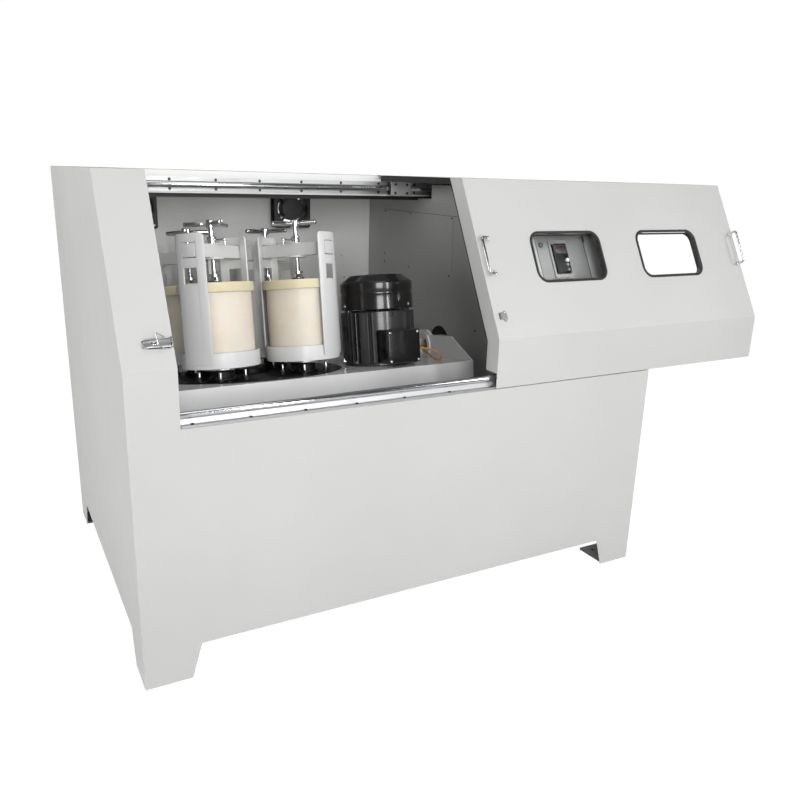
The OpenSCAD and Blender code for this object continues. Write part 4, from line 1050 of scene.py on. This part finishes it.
# ------------------------------------------------------------------ sliding door's fittings
def gasket_mesh():
    p = Piece("window_gaskets")
    S = on_mm(0, 0)
    for cx in (561.5, 1014):
        prof = fillet([(0, 0), (0, 1.6), (2.2, 3.0), (6.6, 3.0), (9, 1.2), (9, -19), (6.6, -19), (6.6, -5), (0, -5), (0, -2), (5, -2), (5, 0)],
                      [0.3, 1.0, 1.6, 1.6, 1.0, 0.6, 0.6, 0.3, 0.8, 0.2, 0.2, 0.2], 2)
        bm = bmesh.new()
        outer = rect(290, 172, 39, 0, 0, 12)
        n = len(outer)
        loops = []
        for i, q in enumerate(outer):
            a, c = Vector(outer[i - 1]), Vector(outer[(i + 1) % n])
            t = (c - a).normalized()
            inn = Vector((-t.y, t.x))
            loops.append([bm.verts.new((cx + q[0] + inn.x * d, 255 + q[1] + inn.y * d, z)) for d, z in prof])
        m = len(prof)
        for i in range(n):
            a, b = loops[i], loops[(i + 1) % n]
            for s in range(m):
                bm.faces.new((a[s], a[(s + 1) % m], b[(s + 1) % m], b[s]))
        bmesh.ops.recalc_face_normals(bm, faces=bm.faces)
        p.put(bm, "black_rubber", S)
    return p.mesh(50)


def on_mm(x, s, d=0.0):
    return t_mm(x, FY + SB * s, BEND + SU * s) @ R(LEAN, "X") @ t_mm(0, 0, -d)


show("window_gaskets_seen", gasket_mesh(), "door", "window_gaskets")


def handle_mesh():
    """Folding bow handle: pivots at (0, +-50.5, 0), bar along Y at height 28."""
    p = Piece("bow_handle")
    path = arc_path([(0, -58.3, 0), (0, -58.3, 28), (0, 58.3, 28), (0, 58.3, 0)], 11, 8)
    p.put(tube(path, 4.0, 20), "chrome")
    for s in (-1, 1):
        eye = lathe(fillet([(0, -3.5), (5, -3.5), (5, 3.5), (0, 3.5)], [0, 1, 1, 0], 3, closed=False), 32)
        p.put(eye, "chrome", t_mm(0, s * 58.3, 0) @ R(90, "X"))
        p.put(cyl(2.5, 8.4, 24, 0.3), "steel", t_mm(0, s * 54.9, 0) @ R(s * 90, "X"))
    return p.mesh()


H = handle_mesh()
show("door_handle_left_seen", H, "handle_left", "door_handle_left", on_slope(DOOR0 + 36, 261) @ T(0, 0, 8) @ R(-70, "Y"))
show("door_handle_right_seen", H, "handle_right", "door_handle_right", on_slope(DOOR1 - 22, 261) @ T(0, 0, 8))


def carriages_mesh():
    p = Piece("door_carriages")
    up = Matrix(((0, 0, 1, 0), (1, 0, 0, 0), (0, 1, 0, 0), (0, 0, 0, 1)))  # section's X to Y, Y to Z, depth to X
    # section with a bore open below
    n = 40
    s, e = math.radians(-51), math.radians(231)
    bore = [(10.06 * math.cos(s + (e - s) * i / n), 10.06 * math.sin(s + (e - s) * i / n)) for i in range(n + 1)]
    sec = [(24, -16), (24, 21), (-24, 21), (-24, -16), (-9.6, -16)] + list(reversed(bore)) + [(9.6, -16)]
    for x in (276, 760):
        for W in (t_mm(x - 35, RAIL_Y, RAIL_Z) @ up, t_mm(x - 35, TRAIL_Y, TRAIL_Z) @ up @ R(90, "Z")):
            p.put(plate(sec, (), 64, 0.9, 2, 3.0), "steel", W)
            for z0 in (0.0, 67.0):
                p.put(plate([(q[0] * 0.93, q[1] * 0.93 + 0.2) if abs(q[0]) > 12 else (q[0] * 1.02, q[1] * 1.0) for q in sec], (), 3.0, 0.4, 1, z0), "black_rubber", W)
                for sx in (-17, 17):
                    p.put(pan_screw(2.0, 1.0, False), "fastener_steel", W @ t_mm(sx, 12, z0 if z0 == 0 else 70) @ (R(180, "X") if z0 == 0 else R(0, "X")))
            # mounting screws on the block's back
        p.put(box((x - 40, x + 40), (124, 129), (TRAIL_Z - 24, CH - 2), 0.8, 1), "bracket_paint")
        p.put(box((x - 40, x + 40), (60, 125), (CH - 6, CH - 2), 0.8, 1), "bracket_paint")
        for sx in (-24, 24):
            for z in (TRAIL_Z - 16, TRAIL_Z + 14):
                p.put(pan_screw(4.6, 3.2), "black_oxide", t_mm(x + sx, 124, z) @ R(90, "X"))
            p.put(pan_screw(4.6, 3.2), "fastener_steel", t_mm(x + sx, 80, CH - 6) @ R(180, "X"))
    return p.mesh()


show("door_carriages_seen", carriages_mesh(), "door", "door_carriages")


# ------------------------------------------------------------------ toggle latch
LX, LS = -729, 65.5


def latch_base_mesh():
    p = Piece("latch_base")
    S = on_mm(LX, LS, -0.02)
    base = fillet([(-56, -12), (-8, -12), (-8, -13.6), (5, -13.6), (5, 13.6), (-8, 13.6), (-8, 12), (-56, 12)], [4, 0.5, 0.3, 1, 1, 0.3, 0.5, 4], 4)
    p.put(plate(base, [], 1.6, 0.4, 1), "chrome", S)
    for j in (-13.6, 12):
        ear = plate(fillet([(-5, 0), (4, 0), (4, 8), (2.2, 11.5), (-3.2, 11.5), (-5, 8)], [0, 0, 1, 2, 2, 1], 3), [], 1.6, 0.3, 1)
        p.put(ear, "chrome", S @ t_mm(0, j + 1.6, 0) @ R(90, "X"))
    p.put(cyl(1.5, 27.4, 20, 0.3), "steel", S @ t_mm(0, 13.7, 8) @ R(90, "X"))
    for j in (-1, 1):
        p.put(pan_screw(2.4, 0.9, False), "steel", S @ t_mm(0, j * 13.6, 8) @ R(-90 * j, "X"))
    for px in (-48, -14):
        p.put(pan_screw(3.4, 1.8, False), "fastener_steel", S @ t_mm(px, 0, 1.6))
    return p.mesh()


def latch_lever_mesh():
    """Pressed lever: a long shallow channel with turned-down edges and a lowered, rounded thumb end."""
    p = Piece("latch_lever")
    S = on_mm(LX, LS, -0.02)
    rows = [(-65, 5.2, 7.2, 0.7), (-64, 8.0, 7.5, 0.9), (-61.5, 9.8, 8.0, 1.2), (-58, 10.6, 8.8, 1.6), (-53, 10.9, 10.0, 2.4), (-48, 11.0, 10.9, 3.6),
            (-42, 11.1, 11.3, 4.4), (-30, 11.1, 11.5, 4.6), (-18, 11.2, 11.6, 4.8), (-6, 11.2, 11.6, 4.8), (1.0, 11.2, 11.5, 4.8), (3.0, 11.2, 10.6, 4.0)]
    bm = bmesh.new()
    grid = []
    for x, hw, z, dep in rows:
        sec = [(-hw, z - dep), (-hw, z - 1.2), (-hw + 0.4, z - 0.4), (-hw + 1.4, z), (-hw * 0.5, z - 0.35), (0, z - 0.5),
               (hw * 0.5, z - 0.35), (hw - 1.4, z), (hw - 0.4, z - 0.4), (hw, z - 1.2), (hw, z - dep)]
        grid.append([bm.verts.new((x, s, h)) for s, h in sec])
    for a, b in zip(grid, grid[1:]):
        for i in range(len(a) - 1):
            bm.faces.new((a[i], a[i + 1], b[i + 1], b[i]))
    bmesh.ops.recalc_face_normals(bm, faces=bm.faces)
    if sum(fc.normal.z for fc in bm.faces) < 0:
        bmesh.ops.reverse_faces(bm, faces=bm.faces)
    bmesh.ops.solidify(bm, geom=bm.faces[:], thickness=1.3)
    p.put(bm, "satin_steel", S)
    p.put(lathe(fillet([(1.56, -9.8), (3.6, -9.8), (3.6, 9.8), (1.56, 9.8)], 0.3, 1), 32, closed=True), "chrome", S @ t_mm(0, 0, 8) @ R(90, "X"))
    # spring catch's rivet and slot; the rivet's hole and the slot are flat black pieces, painted shade in place of the
    # openings
    p.put(ring(1.7, 4.7, 1.0, 32, 0.4), "chrome", S @ t_mm(-40, 0, 10.9))
    p.put(cyl(1.7, 0.8, 20, 0.2), "painted_hole_shade", S @ t_mm(-40, 0, 10.8))
    p.put(box((-47.6, -45.6), (-2.2, 2.2), (10.2, 10.9), 0.2, 1), "painted_hole_shade", S)
    for j in (-1, 1):
        p.put(lathe(fillet([(1.36, 0), (2.6, 0), (2.6, 0.8), (1.36, 0.8)], 0.2, 1), 24, closed=True), "chrome", S @ t_mm(-15, j * 11.2, 8) @ R(-90 * j, "X"))
    return p.mesh()


def latch_bail_mesh():
    p = Piece("latch_bail")
    S = on_mm(LX, LS, -0.02) @ t_mm(-15, 0, 8) @ R(-123, "Y")
    path = arc_path([(0, -9, 0), (0, -15.4, 0), (43, -15.4, 0), (43, 15.4, 0), (0, 15.4, 0), (0, 9, 0)], 3.4, 6)
    p.put(tube(path, 1.25, 14), "chrome", S)
    return p.mesh()


def keeper_mesh():
    p = Piece("latch_keeper")
    S = on_mm(DOOR0 + 38, 71, -0.02)
    base = fillet([(-20, -10), (-8, -10), (-1, -17), (4, -17), (9, -6), (9, 6), (4, 17), (-1, 17), (-8, 10), (-20, 10)], [0.5, 2, 2, 3, 4, 4, 3, 2, 2, 0.5], 3)
    p.put(plate(base, [circle(2, 20, 1, 12), circle(2, 20, 1, -12)], 1.6, 0.3, 1), "dull_zinc", S)
    hook = fillet([(-20, 0.8), (-18, 0.8), (-18, 8.6), (-13, 8.6), (-13, 10.4), (-20, 10.4)], [0, 0, 0.8, 0.6, 0.6, 2.2], 3)
    p.put(plate(hook, [], 20, 0.3, 1, -10), "dull_zinc", S @ R(90, "X"))
    for j in (-12, 12):
        p.put(pan_screw(2.9, 1.6, False), "fastener_steel", S @ t_mm(1, j, 1.6))
    return p.mesh()


show("latch_base_seen", latch_base_mesh(), "cabinet", "latch_base")
show("latch_lever_seen", latch_lever_mesh(), "latch_lever", "latch_lever")
show("latch_bail_seen", latch_bail_mesh(), "latch_bail", "latch_bail")
show("latch_keeper_seen", keeper_mesh(), "door", "latch_keeper")


# ------------------------------------------------------------------ control section
def keypad_mesh():
    p = Piece("keypad")
    S = on_mm(590, 274.5, CTL)
    p.put(plate(rect(75, 132, 5, 0, 0, 5), [rect(58, 102, 3, 0, 0, 4)], 5.0, 1.0, 2, 2.3), "bezel_grey", S)
    p.put(box((-29.8, 29.8), (-52, 52), (-10, 14), 1.5, 3), "keypad_black", S)
    # display behind a dark window with a raised rim
    p.put(plate(rect(50, 28, 2, 0, 31, 4), [rect(44, 22, 1, 0, 31, 3)], 1.2, 0.3, 1, 13.8), "black_plastic", S)
    p.put(box((-22, 22), (20, 42), (13.8, 14.5), 0.2, 1), "dark_window", S)
    seg = []
    for d in range(4):
        x0 = -17 + 9.6 * d
        for (x, y, w, h) in ((0, 7, 5, 1), (0, 0, 5, 1), (0, -7, 5, 1), (-2.6, 3.5, 1, 6), (2.6, 3.5, 1, 6), (-2.6, -3.5, 1, 6), (2.6, -3.5, 1, 6)):
            seg.append(box((x0 + x - w / 2 + 3, x0 + x + w / 2 + 3), (31 + y - h / 2, 31 + y + h / 2), (14.4, 14.62), 0.0, 1))
    p.put(seg, "dark_segment", S)
    for y in (-23, -40):
        K = S @ t_mm(17, y, 13.9)
        p.put(lathe(fillet([(0, 0), (4.6, 0), (4.6, 1.8), (0, 1.8)], [0, 0.2, 0.9, 0], 3, closed=False), 32), "key_grey", K)
        p.put(ring(4.8, 5.8, 0.8, 32, 0.3), "black_plastic", K)
        for x in (-17, 0):
            p.put(lathe(fillet([(0, 0), (2.4, 0), (2.4, 1.6), (0, 1.6)], [0, 0.2, 1.2, 0], 3, closed=False), 24), "key_grey" if x else "black_plastic", S @ t_mm(x, y, 13.9))
    return p.mesh()


def knob_mesh():
    p = Piece("keypad_knob")
    S = on_mm(605, 265.5, CTL)
    p.put(lathe(fillet([(0, 14.4), (6.5, 14.4), (6.5, 16), (5.8, 16.6), (5.5, 23), (5.0, 23.6), (0, 23.4)], [0, 0.3, 0.3, 0.3, 0.8, 0.5, 0], 3, closed=False), 48), "chrome", S)
    for j in range(24):
        p.put(box((5.3, 6.0), (-0.3, 0.3), (16.6, 22.6), 0.12, 1), "steel", S @ R(15 * j, "Z"))
    p.put(cyl(4, 6, 24, 0.3, 9), "steel", S)
    p.put(box((-0.7, 0.7), (1.2, 5.4), (23.3, 24), 0.2, 1), "black_plastic", S)
    return p.mesh()


M["dark_segment"] = plastic("display_segment", (0.035, 0.008, 0.008), (0.3, 0.4), 0.05, 900)
show("keypad_seen", keypad_mesh(), "control_panel", "keypad")
show("keypad_knob_seen", knob_mesh(), "knob", "keypad_knob")

# ------------------------------------------------------------------ stage and light
bm = bmesh.new()
bmesh.ops.create_grid(bm, x_segments=1, y_segments=1, size=40)
me = bpy.data.meshes.new("floor")
bm.to_mesh(me)
bm.free()
floor = bpy.data.objects.new("floor", me)
scene.collection.objects.link(floor)
fm = Mat("studio_floor", rough=0.9, spec=0.1)
fm.color(fm.mix((0.50, 0.50, 0.50), (0.54, 0.54, 0.54), fm.noise(0.7, 2.0, 0.5)))
# a lit white sweep to look at, a mid-grey one for the light it gives back
glow = fm.nt.nodes.new("ShaderNodeEmission")
fm.link(fm.mix((0.97, 0.97, 0.97), (1.0, 1.0, 1.0), fm.noise(1.1, 2.0, 0.5)), glow.inputs["Color"])
ray = fm.nt.nodes.new("ShaderNodeLightPath")
part = fm.nt.nodes.new("ShaderNodeMixShader")
amount = fm.math("MULTIPLY", fm.math("MAXIMUM", ray.outputs["Is Camera Ray"], ray.outputs["Is Transmission Ray"]), 0.93)
fm.link(amount, part.inputs[0])
fm.link(fm.b.outputs[0], part.inputs[1])
fm.link(glow.outputs[0], part.inputs[2])
fm.link(part.outputs[0], next(n for n in fm.nt.nodes if n.type == "OUTPUT_MATERIAL").inputs["Surface"])
glow.inputs["Strength"].default_value = 1.11
me.materials.append(fm.m)

# a white sweep to look at, but a dim room for what it throws on the machine
world = bpy.data.worlds.new("studio")
scene.world = world
world.use_nodes = True
wt = world.node_tree
bg = next(n for n in wt.nodes if n.type == "BACKGROUND")
bg.inputs["Color"].default_value = (1, 1, 1, 1)
sky = wt.nodes.new("ShaderNodeTexCoord")
xyz = wt.nodes.new("ShaderNodeSeparateXYZ")
wt.links.new(sky.outputs["Generated"], xyz.inputs[0])


def w_node(kind, settings, ins, out=0):
    n = wt.nodes.new(kind)
    for k, v in settings.items():
        setattr(n, k, v)
    for k, v in ins.items():
        if isinstance(v, (int, float)):
            n.inputs[k].default_value = v
        else:
            wt.links.new(v, n.inputs[k])
    return n.outputs[out]


back = w_node("ShaderNodeMapRange", {"interpolation_type": "SMOOTHSTEP"},
              {"Value": xyz.outputs[1], "From Min": -0.4, "From Max": 0.3, "To Min": WORLD_FRONT, "To Max": WORLD_BACK})
high = w_node("ShaderNodeMapRange", {"interpolation_type": "SMOOTHSTEP"},
              {"Value": xyz.outputs[2], "From Min": 0.10, "From Max": 0.45, "To Min": 1.0, "To Max": 0.45})
room = w_node("ShaderNodeMath", {"operation": "MULTIPLY"}, {0: back, 1: high})
seen = wt.nodes.new("ShaderNodeLightPath")
seen = w_node("ShaderNodeMath", {"operation": "MAXIMUM"}, {0: seen.outputs["Is Camera Ray"], 1: seen.outputs["Is Transmission Ray"]})
power = w_node("ShaderNodeMix", {"data_type": "FLOAT"}, {0: seen, 2: room, 3: 1.02})
wt.links.new(power, bg.inputs["Strength"])


def area(name, place, target, sx, sy, power):
    li = bpy.data.lights.new(name, "AREA")
    li.shape, li.size, li.size_y, li.energy = "RECTANGLE", sx, sy, power
    ob = bpy.data.objects.new(name, li)
    scene.collection.objects.link(ob)
    ob.location = place
    ob.rotation_euler = (Vector(target) - Vector(place)).to_track_quat("-Z", "Y").to_euler()
    return ob


area("soft_by_the_camera", (-1.10, -4.2, 1.85), (-0.1, 0, 0.80), 1.5, 2.3, 98)
area("strip_front", (0.75, -4.2, 1.75), (-0.1, 0, 0.85), 0.32, 2.3, 46)
area("key_front_right", (3.4, -3.6, 3.0), (0.1, 0, 0.75), 1.4, 2.2, 72)
area("overhead", (-0.5, -1.3, 4.3), (-0.2, 0.1, 0.7), 2.6, 2.2, 22)
area("soft_left", (-4.6, -0.3, 1.5), (-0.8, 0, 0.7), 2.4, 2.4, 133)
# lights the back and the right side, behind what the camera looks at
rear = area("soft_behind", (2.6, 4.6, 1.0), (0.2, 0.5, 0.7), 2.8, 1.5, 170)
rear.visible_camera = False
rear.visible_transmission = False
